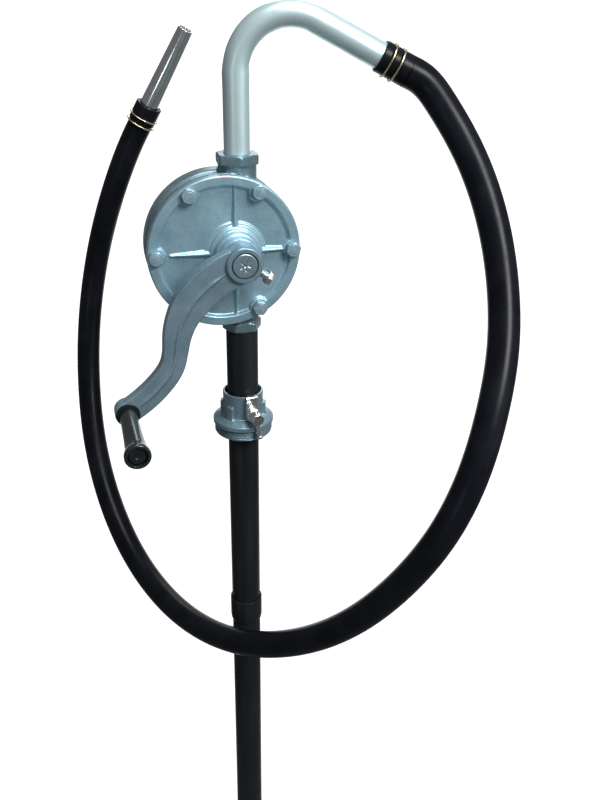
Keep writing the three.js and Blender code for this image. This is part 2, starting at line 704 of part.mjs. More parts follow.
const grip = turned(
  [
    [SPINDLE_RADIUS + FIT, GRIP_BACK],
    [GRIP_SMALL_RADIUS, GRIP_BACK],
    [GRIP_SMALL_RADIUS + 0.6, GRIP_BACK - GRIP_LENGTH * 0.5],
    [GRIP_SMALL_RADIUS + 1.8, GRIP_BACK - GRIP_LENGTH * 0.85],
    [GRIP_RIM_RADIUS, GRIP_FRONT + 5],
    [GRIP_RIM_RADIUS, GRIP_FRONT + 1],
    [GRIP_RIM_RADIUS - 1, GRIP_FRONT],
    [GRIP_RECESS_RADIUS, GRIP_FRONT],
    [GRIP_RECESS_RADIUS, RECESS_FLOOR],
    [SPINDLE_RADIUS + FIT, RECESS_FLOOR],
  ],
  24,
);
piece("handle_grip", grip, PLASTIC, handle);

// ---- Suction pipe: three threaded lengths and two sleeves ----

const INLET_FACE = SHAFT_HEIGHT - PORT_HEIGHT;
const FIRST_TOP = INLET_FACE - FIT;
const pipeTop = (index) => FIRST_TOP - index * PIPE_LENGTH;
const PIPE_NAMES = ["upper", "middle", "lower"];

function pipe(index) {
  const top = pipeTop(index);
  const bottom = top - PIPE_LENGTH + FIT;
  const bore = PIPE_RADIUS - PIPE_WALL;
  const neckBore = PIPE_THREAD_RADIUS - PIPE_WALL;
  const plain = [
    [bore, bottom],
    [PIPE_RADIUS, bottom],
    [PIPE_RADIUS, top],
  ];
  const necked = [
    ...plain,
    [PIPE_THREAD_RADIUS, top],
    [PIPE_THREAD_RADIUS, top + PIPE_THREAD_LENGTH],
    [neckBore, top + PIPE_THREAD_LENGTH],
    [neckBore, top - PIPE_WALL],
    [bore, top - 2 * PIPE_WALL],
  ];
  const profile = index === 0 ? necked : [...plain, [bore, top]];
  const body = solid(turned(profile).rotateX(Math.PI / 2).translate(INLET_X, 0, 0));
  if (index < PIPE_COUNT - 1) return body;
  const notch = block(
    [INLET_X - FOOT_NOTCH / 2, -PIPE_RADIUS - PAST, bottom - PAST],
    [INLET_X + FOOT_NOTCH / 2, PIPE_RADIUS + PAST, bottom + FOOT_NOTCH],
  );
  return body.subtract(solid(notch));
}

for (let i = 0; i < PIPE_COUNT; i += 1) piece(`suction_pipe_${PIPE_NAMES[i]}`, pipe(i), PIPE_BLACK);

for (let i = 1; i < PIPE_COUNT; i += 1) {
  const middle = pipeTop(i);
  const radius = PIPE_RADIUS + FIT + SLEEVE_WALL;
  const sleeve = turned(
    [
      [PIPE_RADIUS + FIT, middle - SLEEVE_LENGTH / 2],
      [radius - SLEEVE_WALL / 2, middle - SLEEVE_LENGTH / 2],
      [radius, middle - SLEEVE_LENGTH / 2 + 4],
      [radius, middle + SLEEVE_LENGTH / 2],
      [PIPE_RADIUS + FIT, middle + SLEEVE_LENGTH / 2],
    ],
  );
  piece(`pipe_sleeve_${i}`, upright(sleeve).translate(INLET_X, 0, 0), PIPE_BLACK);
}

// ---- Bung adapter: thread, flange and lugged collar, with the seal ring inside ----

const ADAPTER_BORE = PIPE_RADIUS + SLIDING;
const SEAL_GROOVE = PIPE_RADIUS + SEAL_RING_REACH + FIT;

function bungAdapter() {
  const outside = [
    [0, -ADAPTER_THREAD_LENGTH],
    [ADAPTER_THREAD_RADIUS - 1, -ADAPTER_THREAD_LENGTH],
    [ADAPTER_THREAD_RADIUS, -ADAPTER_THREAD_LENGTH + 1],
    [ADAPTER_THREAD_RADIUS, 0],
    [ADAPTER_FLANGE_RADIUS, 0],
    [ADAPTER_FLANGE_RADIUS, ADAPTER_FLANGE_RIM],
    [ADAPTER_COLLAR_RADIUS + LUG_REACH, ADAPTER_FLANGE_HEIGHT],
    [ADAPTER_COLLAR_RADIUS, ADAPTER_FLANGE_HEIGHT],
    [ADAPTER_COLLAR_RADIUS, ADAPTER_HEIGHT],
    [0, ADAPTER_HEIGHT],
  ];
  let body = solid(upright(turned(outside, 40)));
  for (let i = 0; i < LUG_COUNT; i += 1) {
    const lug = block(
      [0, -LUG_WIDTH / 2, ADAPTER_FLANGE_HEIGHT - PAST],
      [ADAPTER_COLLAR_RADIUS + LUG_REACH, LUG_WIDTH / 2, LUG_TOP],
    );
    const angle = CLAMP_ANGLE - Math.PI / 2 + (FULL_TURN * i) / LUG_COUNT;
    body = body.add(solid(lug.rotateZ(angle)));
  }
  const bore = round(ADAPTER_BORE, -ADAPTER_THREAD_LENGTH - PAST, ADAPTER_HEIGHT + PAST);
  const mouth = round(ADAPTER_MOUTH_RADIUS, ADAPTER_HEIGHT - ADAPTER_MOUTH_DEPTH, ADAPTER_HEIGHT + PAST);
  const groove = round(SEAL_GROOVE, SEAL_RING_SEAT, SEAL_RING_SEAT + SEAL_RING_HEIGHT + 2 * FIT);
  const screwHole = round(CLAMP_SHANK_RADIUS + FIT, 0, ADAPTER_FLANGE_RADIUS, { sides: 20 });
  screwHole.rotateZ(Math.PI + CLAMP_ANGLE).translate(0, 0, CLAMP_HEIGHT);
  return [upright(bore), upright(mouth), upright(groove), screwHole].reduce(
    (whole, cutter) => whole.subtract(solid(cutter)),
    body,
  );
}
piece("bung_adapter", bungAdapter(), CAST);

const sealLow = SEAL_RING_SEAT + FIT;
const sealRing = round(PIPE_RADIUS + SEAL_RING_REACH, sealLow, sealLow + SEAL_RING_HEIGHT, {
  bore: PIPE_RADIUS + RUNNING,
});
piece("pipe_seal_ring", upright(sealRing), RUBBER);

// ---- Clamp: strap hooked over the collar, pressure pad, screw and tommy bar ----
// In this group +Y runs outwards along the screw, X across it and Z up from the screw.

const STRAP_BACK = ADAPTER_COLLAR_RADIUS + LUG_REACH + FIT;
const STRAP_FRONT = STRAP_BACK + STRAP_THICKNESS;
const STRAP_TOP = ADAPTER_HEIGHT - CLAMP_HEIGHT + FIT;
const LIP_FRONT = ADAPTER_MOUTH_RADIUS - 2 * FIT;
const LIP_BACK = LIP_FRONT - STRAP_THICKNESS / 2;

function strap() {
  const half = STRAP_WIDTH / 2;
  const plate = block([-half, STRAP_BACK, -CLAMP_COLLAR_RADIUS], [half, STRAP_FRONT, STRAP_TOP + PAST]);
  const tongue = block([-half + 1, LIP_BACK, STRAP_TOP], [half - 1, STRAP_FRONT, STRAP_TOP + STRAP_THICKNESS]);
  const lip = block([-3, LIP_BACK, STRAP_TOP - 4], [3, LIP_FRONT, STRAP_TOP + PAST]);
  const hole = round(CLAMP_SHANK_RADIUS + 2 * FIT, STRAP_BACK - PAST, STRAP_FRONT + PAST, { sides: 20 });
  return solid(plate).add(solid(tongue)).add(solid(lip)).subtract(solid(hole));
}
piece("clamp_strap", strap(), NICKEL, clamp);

const PAD_BACK = PIPE_RADIUS + FIT;
const PAD_FRONT = PAD_BACK + CLAMP_PAD_LENGTH;
piece("clamp_pad", round(CLAMP_SHANK_RADIUS - FIT, PAD_BACK, PAD_FRONT, { sides: 16 }), BRASS, clamp);

const COLLAR_BACK = STRAP_FRONT + FIT;
const HEAD_BACK = COLLAR_BACK + CLAMP_COLLAR_LENGTH;
const HEAD_FRONT = HEAD_BACK + CLAMP_HEAD_LENGTH;
const BAR_PLACE = HEAD_FRONT - BAR_SETBACK;
const HEAD_HALF = CLAMP_HEAD_ACROSS_FLATS / 2;

// The bar leans from upright, and hangs with its top knob on the head.
function leaning(shape) {
  return shape.rotateY(-BAR_LEAN).translate(0, BAR_PLACE, 0);
}

function clampScrew() {
  const shank = round(CLAMP_SHANK_RADIUS, PAD_FRONT + FIT, HEAD_BACK, { sides: 20 });
  const collar = round(CLAMP_COLLAR_RADIUS, COLLAR_BACK, HEAD_BACK + PAST, { sides: 24 });
  const head = hexBar(CLAMP_HEAD_ACROSS_FLATS, HEAD_BACK, HEAD_FRONT).rotateY(Math.PI / 6 - BAR_LEAN);
  const cross = upright(round(BAR_RADIUS + FIT, -2 * HEAD_HALF, 2 * HEAD_HALF, { sides: 16 }));
  return solid(shank).add(solid(collar)).add(solid(head)).subtract(solid(leaning(cross)));
}
piece("clamp_screw", clampScrew(), NICKEL, clamp);

const BAR_TOP = HEAD_HALF + FIT + BAR_KNOB_LENGTH;
const BAR_BOTTOM = BAR_TOP - BAR_LENGTH;
const bar = turned(
  [
    [0, BAR_BOTTOM],
    [BAR_KNOB_RADIUS, BAR_BOTTOM],
    [BAR_KNOB_RADIUS, BAR_BOTTOM + BAR_KNOB_LENGTH],
    [BAR_RADIUS, BAR_BOTTOM + BAR_KNOB_LENGTH],
    [BAR_RADIUS, BAR_TOP - BAR_KNOB_LENGTH],
    [BAR_KNOB_RADIUS, BAR_TOP - BAR_KNOB_LENGTH],
    [BAR_KNOB_RADIUS, BAR_TOP],
    [0, BAR_TOP],
  ],
  20,
);
piece("clamp_bar", leaning(upright(bar)), NICKEL, clamp);

// ---- Gooseneck spout ----

const SPOUT_FOOT = PORT_HEIGHT - SOCKET_DEPTH + FIT;
const SPOUT_SIDEWAYS = new THREE.Vector3(Math.cos(SPOUT_TURN), -Math.sin(SPOUT_TURN), 0);
const spoutPoint = (height, sideways) =>
  new THREE.Vector3(OUTLET_X, 0, SHAFT_HEIGHT + height).addScaledVector(SPOUT_SIDEWAYS, sideways);

// Straight up, round the bend and straight down to the hose, as one curve of true distance.
class Gooseneck extends THREE.Curve {
  constructor(from, reach) {
    super();
    this.from = from;
    this.rise = SPOUT_BEND_HEIGHT - from;
    this.bend = SPOUT_BEND_RADIUS * SPOUT_BEND_ANGLE;
    this.total = this.rise + this.bend + reach;
  }
  getPoint(t) {
    const distance = t * this.total;
    if (distance < this.rise) return spoutPoint(this.from + distance, 0);
    const past = distance - this.rise;
    const angle = Math.min(past / SPOUT_BEND_RADIUS, SPOUT_BEND_ANGLE);
    const beyond = Math.max(past - this.bend, 0);
    return spoutPoint(
      SPOUT_BEND_HEIGHT + SPOUT_BEND_RADIUS * Math.sin(angle) + beyond * Math.cos(angle),
      SPOUT_BEND_RADIUS * (1 - Math.cos(angle)) + beyond * Math.sin(angle),
    );
  }
}
const spoutPath = new Gooseneck(SPOUT_FOOT, SPOUT_REACH);
const spoutBore = new Gooseneck(SPOUT_FOOT - PAST, SPOUT_REACH + 2 * PAST);
const spoutSolid = solid(tube(spoutPath, SPOUT_RADIUS, 20, 16)).subtract(
  solid(tube(spoutBore, SPOUT_RADIUS - SPOUT_WALL, 20, 10)),
);
piece("spout", spoutSolid, GALVANISED);

// ---- Hose: a free length between two ends pushed over the spout and the nozzle ----

const SPOUT_END = spoutPath.getPoint(1);
const SPOUT_DIRECTION = SPOUT_END.clone().sub(spoutPath.getPoint(0.98)).normalize();
const NOZZLE_START = NOZZLE_MOUTH.clone()
  .addScaledVector(UP, SHAFT_HEIGHT)
  .addScaledVector(NOZZLE_DIRECTION, -HOSE_END_LENGTH);

function hose() {
  const points = [
    SPOUT_END.clone().addScaledVector(SPOUT_DIRECTION, FIT),
    SPOUT_END.clone().addScaledVector(SPOUT_DIRECTION, HOSE_RADIUS),
    ...HOSE_ROUTE.map(([x, y, z]) => new THREE.Vector3(x, y, z + SHAFT_HEIGHT)),
    NOZZLE_START.clone().addScaledVector(NOZZLE_DIRECTION, -HOSE_RADIUS),
    NOZZLE_START.clone().addScaledVector(NOZZLE_DIRECTION, -FIT),
  ];
  return tube(new THREE.CatmullRomCurve3(points), HOSE_RADIUS, 44, 8);
}
piece("hose", hose(), RUBBER);

const hoseEnd = (radius, bore) => round(radius, 0, HOSE_END_LENGTH, { bore, sides: 24 });
const SPOUT_MOUTH_DIRECTION = SPOUT_DIRECTION.clone().negate();
const spoutEnd = hoseEnd(SPOUT_HOSE_END_RADIUS, SPOUT_RADIUS + FIT);
piece("hose_spout_end", along(spoutEnd, SPOUT_MOUTH_DIRECTION, SPOUT_END), RUBBER);
const nozzleEnd = hoseEnd(NOZZLE_HOSE_END_RADIUS, NOZZLE_BASE_RADIUS + FIT);
piece("hose_nozzle_end", along(nozzleEnd, NOZZLE_DIRECTION, NOZZLE_START), RUBBER);

// Two wire rings joined by a lug at the back, and the screw that draws the lug tight.
function wireClamp(hoseRadius, fromMouth, lugTurn) {
  const place = HOSE_END_LENGTH - fromMouth;
  const centre = hoseRadius + FIT + WIRE_RADIUS;
  const half = WIRE_SPACING / 2;
  const ring = (middle) => {
    const section = Array.from({ length: 5 }, (_, i) => {
      const angle = (FULL_TURN * i) / 5;
      return [centre + WIRE_RADIUS * Math.cos(angle), middle + WIRE_RADIUS * Math.sin(angle)];
    });
    return solid(turned(section, 20));
  };
  const lug = block(
    [centre - WIRE_RADIUS / 2, place - half - WIRE_RADIUS, -WIRE_LUG / 2],
    [centre + WIRE_LUG, place + half + WIRE_RADIUS, WIRE_LUG / 2],
  );
  const screwPlace = centre + WIRE_LUG / 2 + WIRE_SCREW_RADIUS / 2;
  const hole = upright(round(WIRE_SCREW_RADIUS + FIT, -WIRE_LUG, WIRE_LUG, { sides: 12 }));
  const body = ring(place - half)
    .add(ring(place + half))
    .add(solid(lug))
    .subtract(solid(hole.translate(screwPlace, place, 0)));
  const screw = turned(
    [
      [0, -WIRE_LUG],
      [WIRE_SCREW_RADIUS, -WIRE_LUG],
      [WIRE_SCREW_RADIUS, WIRE_LUG / 2 + FIT],
      [2 * WIRE_SCREW_RADIUS, WIRE_LUG / 2 + FIT],
      [2 * WIRE_SCREW_RADIUS, WIRE_LUG / 2 + FIT + WIRE_SCREW_RADIUS],
      [0, WIRE_LUG / 2 + FIT + WIRE_SCREW_RADIUS],
    ],
    12,
  );
  return {
    body: geometryOf(body).rotateY(lugTurn),
    screw: upright(screw).translate(screwPlace, place, 0).rotateY(lugTurn),
  };
}

const spoutClamp = wireClamp(SPOUT_HOSE_END_RADIUS, SPOUT_CLAMP_FROM_MOUTH, SPOUT_LUG_TURN);
piece("spout_wire_clamp", along(spoutClamp.body, SPOUT_MOUTH_DIRECTION, SPOUT_END), BRASS);
piece("spout_wire_clamp_screw", along(spoutClamp.screw, SPOUT_MOUTH_DIRECTION, SPOUT_END), BRASS);
const nozzleClamp = wireClamp(NOZZLE_HOSE_END_RADIUS, NOZZLE_CLAMP_FROM_MOUTH, NOZZLE_LUG_TURN);
piece("nozzle_wire_clamp", along(nozzleClamp.body, NOZZLE_DIRECTION, NOZZLE_START), BRASS);
piece("nozzle_wire_clamp_screw", along(nozzleClamp.screw, NOZZLE_DIRECTION, NOZZLE_START), BRASS);

// ---- Delivery nozzle: a straight tapered tube ----

const nozzleWhole = HOSE_END_LENGTH + NOZZLE_LENGTH;
const nozzle = turned(
  [
    [NOZZLE_BASE_RADIUS - NOZZLE_WALL, 0],
    [NOZZLE_BASE_RADIUS, 0],
    [NOZZLE_BASE_RADIUS, HOSE_END_LENGTH],
    [NOZZLE_TIP_RADIUS, nozzleWhole],
    [NOZZLE_TIP_RADIUS - NOZZLE_WALL, nozzleWhole],
    [NOZZLE_BASE_RADIUS - NOZZLE_WALL, HOSE_END_LENGTH],
  ],
  28,
);
piece("nozzle", along(nozzle, NOZZLE_DIRECTION, NOZZLE_START), GALVANISED);

export default pump;
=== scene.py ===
import math
import bpy
import numpy as np
from mathutils import Matrix, Vector


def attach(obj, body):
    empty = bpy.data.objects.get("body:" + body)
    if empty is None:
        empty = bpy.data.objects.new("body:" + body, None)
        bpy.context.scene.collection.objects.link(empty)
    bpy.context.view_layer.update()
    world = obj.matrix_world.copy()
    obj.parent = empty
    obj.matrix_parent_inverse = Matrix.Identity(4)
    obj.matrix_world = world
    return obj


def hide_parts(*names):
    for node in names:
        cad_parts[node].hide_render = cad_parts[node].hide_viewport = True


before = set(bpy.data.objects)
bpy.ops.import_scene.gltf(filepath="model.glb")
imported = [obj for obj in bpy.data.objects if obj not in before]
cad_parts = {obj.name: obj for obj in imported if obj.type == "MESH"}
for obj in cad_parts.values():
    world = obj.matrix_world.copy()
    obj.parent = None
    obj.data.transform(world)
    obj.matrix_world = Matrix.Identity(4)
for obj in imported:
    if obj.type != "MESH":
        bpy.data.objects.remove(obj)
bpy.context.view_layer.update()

# ---- Camera ----
# The pump is looked down on from its crank side, a little from the left, with the lower end of
# the suction pipe running out of view.
yaw, pitch, roll = math.radians(15.55), math.radians(26.75), math.radians(0.82)
ahead = Vector((math.sin(yaw) * math.cos(pitch), math.cos(yaw) * math.cos(pitch), -math.sin(pitch)))
level = Vector((math.cos(yaw), -math.sin(yaw), 0))
upward = level.cross(ahead)
across = math.cos(roll) * level + math.sin(roll) * upward
upright = -math.sin(roll) * level + math.cos(roll) * upward
lens = bpy.data.cameras.new("camera")
lens.sensor_width = 36
lens.lens = 42.13
lens.clip_end = 200
camera = bpy.data.objects.new("camera", lens)
camera.matrix_world = Matrix(
    [[across[i], upright[i], -ahead[i], (-0.1763, -0.8548, 0.4619)[i]] for i in range(3)] + [[0, 0, 0, 1]]
)
bpy.context.scene.collection.objects.link(camera)
bpy.context.scene.camera = camera

# ---- Hose ----
# A thick-walled black rubber hose that keeps its curl: from the spout it falls forward and to
# the right, passes in front of the suction pipe and climbs behind and to the left to the nozzle.


def smooth_line(points, count):
    """A natural cubic through the points by distance along the chords: the second derivatives are
    the solution of one tridiagonal system, and count places are read off at even distances."""
    points = np.asarray(points, float)
    at = np.concatenate([[0], np.cumsum(np.linalg.norm(np.diff(points, axis=0), axis=1))])
    gap = np.diff(at)
    system = np.eye(len(at))
    inner = np.arange(1, len(at) - 1)
    system[inner, inner - 1] = gap[:-1]
    system[inner, inner] = 2 * (gap[:-1] + gap[1:])
    system[inner, inner + 1] = gap[1:]
    slope = np.diff(points, axis=0) / gap[:, None]
    right = np.zeros_like(points)
    right[1:-1] = 6 * np.diff(slope, axis=0)
    bend = np.linalg.solve(system, right)

    def place(t):
        k = np.clip(np.searchsorted(at, t, side="right") - 1, 0, len(gap) - 1)
        h = gap[k][:, None]
        a = (at[k + 1] - t)[:, None] / h
        b = 1 - a
        curve = (a**3 - a) * bend[k] + (b**3 - b) * bend[k + 1]
        return a * points[k] + b * points[k + 1] + curve * h**2 / 6

    fine = place(np.linspace(0, at[-1], 4000))
    run = np.concatenate([[0], np.cumsum(np.linalg.norm(np.diff(fine, axis=0), axis=1))])
    return place(np.interp(np.linspace(0, run[-1], count), run, np.linspace(0, at[-1], 4000)))


def carried(line, radius, sides, across_hint, flat=1.0):
    """A round section carried along a line: each ring is the line's point plus the radius times a
    cosine of the direction square to the hint and the line, and a sine of the third direction,
    with flat narrowing the second of them."""
    line = np.asarray(line, float)
    run = np.gradient(line, axis=0)
    run /= np.linalg.norm(run, axis=1)[:, None]
    side = np.cross(np.asarray(across_hint, float), run)
    side /= np.linalg.norm(side, axis=1)[:, None]
    third = np.cross(run, side)
    turn = np.linspace(0, 2 * np.pi, sides, endpoint=False)
    size = np.broadcast_to(radius, len(line))[:, None, None]
    squeeze = np.broadcast_to(flat, len(line))[:, None, None]
    wave, rise = np.cos(turn)[None, :, None], np.sin(turn)[None, :, None]
    return line[:, None, :] + size * (wave * squeeze * side[:, None, :] + rise * third[:, None, :])


def skin(rings, ends="capped"):
    """A closed skin over rings of points, with four-sided faces from ring to ring. Its ends are
    capped with fans on their middle points, or the last ring is joined to the first. The faces
    are turned over if the volume that they enclose comes out negative."""
    rows, columns = rings.shape[:2]
    points = rings.reshape(-1, 3)
    row = np.arange(rows if ends == "joined" else rows - 1)[:, None]
    column = np.arange(columns)[None, :]
    here, there = row * columns, ((row + 1) % rows) * columns
    nextcol = (column + 1) % columns
    quads = np.stack([here + column, here + nextcol, there + nextcol, there + column], -1).reshape(-1, 4)
    fans = np.zeros((0, 3), int)
    if ends == "capped":
        poles = rings[[0, -1]].mean(axis=1)
        first, last = len(points), len(points) + 1
        points = np.concatenate([points, poles])
        column = column[0]
        low = np.stack([np.full(columns, first), (column + 1) % columns, column], -1)
        start = (rows - 1) * columns
        high = np.stack([np.full(columns, last), start + column, start + (column + 1) % columns], -1)
        fans = np.concatenate([low, high])
    faces = np.concatenate([quads[:, [0, 1, 2]], quads[:, [0, 2, 3]], fans])
    a, b, c = (points[faces[:, i]] for i in range(3))
    if np.einsum("ij,ij->i", a, np.cross(b, c)).sum() < 0:
        quads, fans = quads[:, ::-1], fans[:, ::-1]
    return points, quads, fans


def mesh_of(name, skins, scale=0.001):
    """One mesh from several closed skins given in millimetres."""
    start, points, loops, totals = 0, [], [], []
    for each, quads, fans in skins:
        points.append(each)
        loops += [(quads + start).ravel(), (fans + start).ravel()]
        totals += [np.full(len(quads), 4), np.full(len(fans), 3)]
        start += len(each)
    points, loops, totals = np.concatenate(points), np.concatenate(loops), np.concatenate(totals)
    mesh = bpy.data.meshes.new(name)
    mesh.vertices.add(len(points))
    mesh.vertices.foreach_set("co", (points * scale).ravel())
    mesh.loops.add(len(loops))
    mesh.loops.foreach_set("vertex_index", loops.astype(np.int32))
    mesh.polygons.add(len(totals))
    mesh.polygons.foreach_set("loop_start", (np.cumsum(totals) - totals).astype(np.int32))
    mesh.polygons.foreach_set("use_smooth", np.ones(len(totals), bool))
    mesh.update(calc_edges=True)
    mesh.validate()
    return mesh


def fitted(name, mesh, finish, body, stands_for, crease=38):
    """Puts a finished mesh in the scene: its finish, the body it moves with and the solids it
    stands for. Edges sharper than the crease stay sharp."""
    mesh.set_sharp_from_angle(angle=math.radians(crease))
    mesh.materials.clear()
    mesh.materials.append(finish)
    mesh.polygons.foreach_set("material_index", np.zeros(len(mesh.polygons), np.int32))
    piece = bpy.data.objects.new(name, mesh)
    bpy.context.scene.collection.objects.link(piece)
    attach(piece, body)
    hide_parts(*stands_for)
    return piece


class Wire:
    """A socket's value in a material's node tree: arithmetic on it adds Math nodes."""

    def __init__(self, tree, socket=None):
        self.tree, self.socket = tree, socket

    def node(self, kind, settings=None, values=None, output=0):
        """Adds a node: its settings first, then the values or links of its sockets."""
        made = self.tree.nodes.new(kind)
        for key, value in (settings or {}).items():
            if key == "stops":
                ramp = made.color_ramp.elements
                while len(ramp) < len(value):
                    ramp.new(1)
                for element, (position, colour) in zip(ramp, value):
                    element.position = position
                    element.color = (*colour, 1)
            else:
                setattr(made, key, value)
        for key, value in (values or {}).items():
            if isinstance(value, Wire):
                self.tree.links.new(value.socket, made.inputs[key])
            else:
                made.inputs[key].default_value = value
        return Wire(self.tree, made.outputs[output])

    def maths(self, operation, first, second=0.0):
        return self.node("ShaderNodeMath", {"operation": operation}, {0: first, 1: second})

    def __add__(self, other):
        return self.maths("ADD", self, other)

    def __mul__(self, other):
        return self.maths("MULTIPLY", self, other)

    __radd__, __rmul__ = __add__, __mul__

    def clamped(self, low, high, out_low=0.0, out_high=1.0):
        """The value between low and high, carried over to between out_low and out_high."""
        values = {"Value": self, 1: low, 2: high, 3: out_low, 4: out_high}
        return self.node("ShaderNodeMapRange", {"clamp": True}, values)

    def noise(self, scale, detail=3.0, stretch=(1, 1, 1), roughness=0.55):
        """Noise in the part's own space, scale cells to the metre, with its axes stretched."""
        where = self.node("ShaderNodeTexCoord", output="Object")
        where = self.node("ShaderNodeMapping", None, {"Vector": where, "Scale": stretch})
        values = {"Vector": where, "Scale": scale, "Detail": detail, "Roughness": roughness}
        return self.node("ShaderNodeTexNoise", None, values)

    def mixed(self, dark, light):
        """This value as the share of the light colour over the dark one."""
        values = {0: self, 6: (*dark, 1), 7: (*light, 1)}
        return self.node("ShaderNodeMix", {"data_type": "RGBA"}, values, output=2)

    def bump(self, strength, distance):
        values = {"Height": self, "Strength": strength, "Distance": distance}
        return self.node("ShaderNodeBump", None, values)


def finish(name, constants, varying):
    """A material: constants go on the shader's sockets, and varying(wire) gives the rest."""
    material = bpy.data.materials.new(name)
    material.use_nodes = True
    tree = material.node_tree
    tree.nodes.clear()
    output = tree.nodes.new("ShaderNodeOutputMaterial")
    shader = tree.nodes.new("ShaderNodeBsdfPrincipled")
    tree.links.new(shader.outputs[0], output.inputs[0])
    for key, value in constants.items():
        shader.inputs[key].default_value = value
    for key, wire in varying(Wire(tree)).items():
        tree.links.new(wire.socket, shader.inputs[key])
    return material


def rubber_look(wire):
    bloom = wire.noise(28, 4, (1, 1, 1))
    grain = wire.noise(1500, 2)
    scuff = wire.noise(90, 6, (1, 1, 1), 0.65)
    return {
        "Base Color": bloom.clamped(0.35, 0.7).mixed((0.0035, 0.004, 0.0065), (0.008, 0.009, 0.013)),
        "Roughness": 0.25 + 0.1 * bloom + 0.1 * scuff.clamped(0.5, 0.75),
        "Normal": (grain + 0.6 * scuff).bump(0.12, 0.0002),
    }


hose_rubber = finish("hose_rubber", {"Specular IOR Level": 0.12}, rubber_look)

shaft_height = 190.5
hose_radius = 14.5
spout_end = np.array([147.56, -31.88, 158.81])
spout_run = np.array([0.871, -0.18565, -0.45485])
nozzle_run = np.array([0.445, -0.2115, 0.87]) / np.linalg.norm([0.445, -0.2115, 0.87])
cuff_length = 28.0
nozzle_mouth = np.array([-45.8, 298, 82.4])
nozzle_start = nozzle_mouth - cuff_length * nozzle_run
hose_points = np.array(
    [
        spout_end + 0.3 * spout_run,
        spout_end + hose_radius * spout_run,
        [176, -46, 133],
        [199, -73, 87],
        [211, -102, 38],
        [213, -131, -13],
        [204, -162, -61],
        [186, -190, -107],
        [165, -209, -157],
        [141, -212, -214],
        [112, -196, -277],
        [75, -161, -346],
        [30, -107, -409],
        [-23, -38, -453],
        [-74, 43, -465],
        [-112, 121, -443],
        [-136, 192, -398],
        [-147, 254, -339],
        [-146, 304, -269],
        [-136, 334, -191],
        [-118, 339, -107],
        [-93, 318, -21],
        nozzle_start - hose_radius * nozzle_run,
        nozzle_start - 0.3 * nozzle_run,
    ]
) + [0, 0, shaft_height]
hose_line = smooth_line(hose_points, 420)
loop_square = np.linalg.svd(hose_line - hose_line.mean(axis=0))[2][2]
hose_skin = skin(carried(hose_line, hose_radius, 48, loop_square))
hose = fitted("rubber_hose", mesh_of("rubber_hose", [hose_skin]), hose_rubber, "pump", ["hose"])

# ---- Stretched hose ends ----
# The same rubber, swollen over the spout and over the nozzle. Each end is cut square, shows its
# thickness round the tube and is pinched where the wires draw it in.


def turned(profile, sides=96):
    """A profile of radius and height carried round the height axis: a profile that starts and
    ends on the axis is capped there, any other is closed on itself."""
    profile = np.asarray(profile, float)
    capped = profile[0, 0] == 0 and profile[-1, 0] == 0
    if capped:
        profile = profile[1:-1]
    turn = np.linspace(0, 2 * np.pi, sides, endpoint=False)
    radius, height = profile[:, 0, None], profile[:, 1, None]
    rings = np.stack([radius * np.cos(turn), radius * np.sin(turn), height + 0 * turn], -1)
    return skin(rings, "capped" if capped else "joined")


def eased(profile, radius, steps=4):
    """A profile with its corners off the axis rounded: each gives way to a parabola between points
    no further from it than the radius, or than two fifths of the shorter side beside it."""
    profile = np.asarray(profile, float)
    closed = not (profile[0, 0] == 0 and profile[-1, 0] == 0)
    before, after = np.roll(profile, 1, axis=0), np.roll(profile, -1, axis=0)
    radius = np.broadcast_to(radius, len(profile))
    blend = np.linspace(0, 1, steps)[None, :, None]
    back, forth = before - profile, after - profile
    far_back, far_forth = np.linalg.norm(back, axis=1), np.linalg.norm(forth, axis=1)
    reach = np.minimum(radius, 0.4 * np.minimum(far_back, far_forth))[:, None]
    start = profile + back / far_back[:, None] * reach
    end = profile + forth / far_forth[:, None] * reach
    curve = (1 - blend) ** 2 * start[:, None] + 2 * blend * (1 - blend) * profile[:, None]
    curve = (curve + blend**2 * end[:, None]).reshape(-1, 2)
    if closed:
        return curve
    return np.concatenate([profile[:1], curve[steps:-steps], profile[-1:]])


def placed(shape, origin, axis, hint=(0, 0, 1)):
    """A shape made about the third axis, moved so that this axis runs along the given one from
    the origin, and the first axis lies as near as it can to the hint."""
    axis = np.asarray(axis, float) / np.linalg.norm(axis)
    first = np.asarray(hint, float) - np.dot(hint, axis) * axis
    first = first / np.linalg.norm(first)
    turn = np.stack([first, np.cross(axis, first), axis])
    return (shape[0] @ turn + np.asarray(origin, float), *shape[1:])


spout_cuff_radius, nozzle_cuff_radius = 14.4, 15.5
wire_radius = 0.9
wire_gap = 8.6


def cuff_profile(bore, cuff_radius, wires_from_mouth):
    """The cuff's outside radius swells from the hose to the mouth, less a narrow bell at each wire."""
    height = np.linspace(0, cuff_length, 90)
    outside = hose_radius + (cuff_radius - hose_radius) * np.clip(height / 7, 0, 1)
    for wire in (-wire_gap / 2, wire_gap / 2):
        middle = cuff_length - wires_from_mouth + wire
        outside = outside - 0.55 * np.exp(-(((height - middle) / 1.3) ** 2))
    outside = outside - 0.9 * np.clip((height - cuff_length + 1.0) / 1.0, 0, 1) ** 2
    wall = np.stack([outside, height], -1)
    return np.concatenate([[[bore, 0]], wall, [[bore + 0.5, cuff_length], [bore, cuff_length - 1]]])


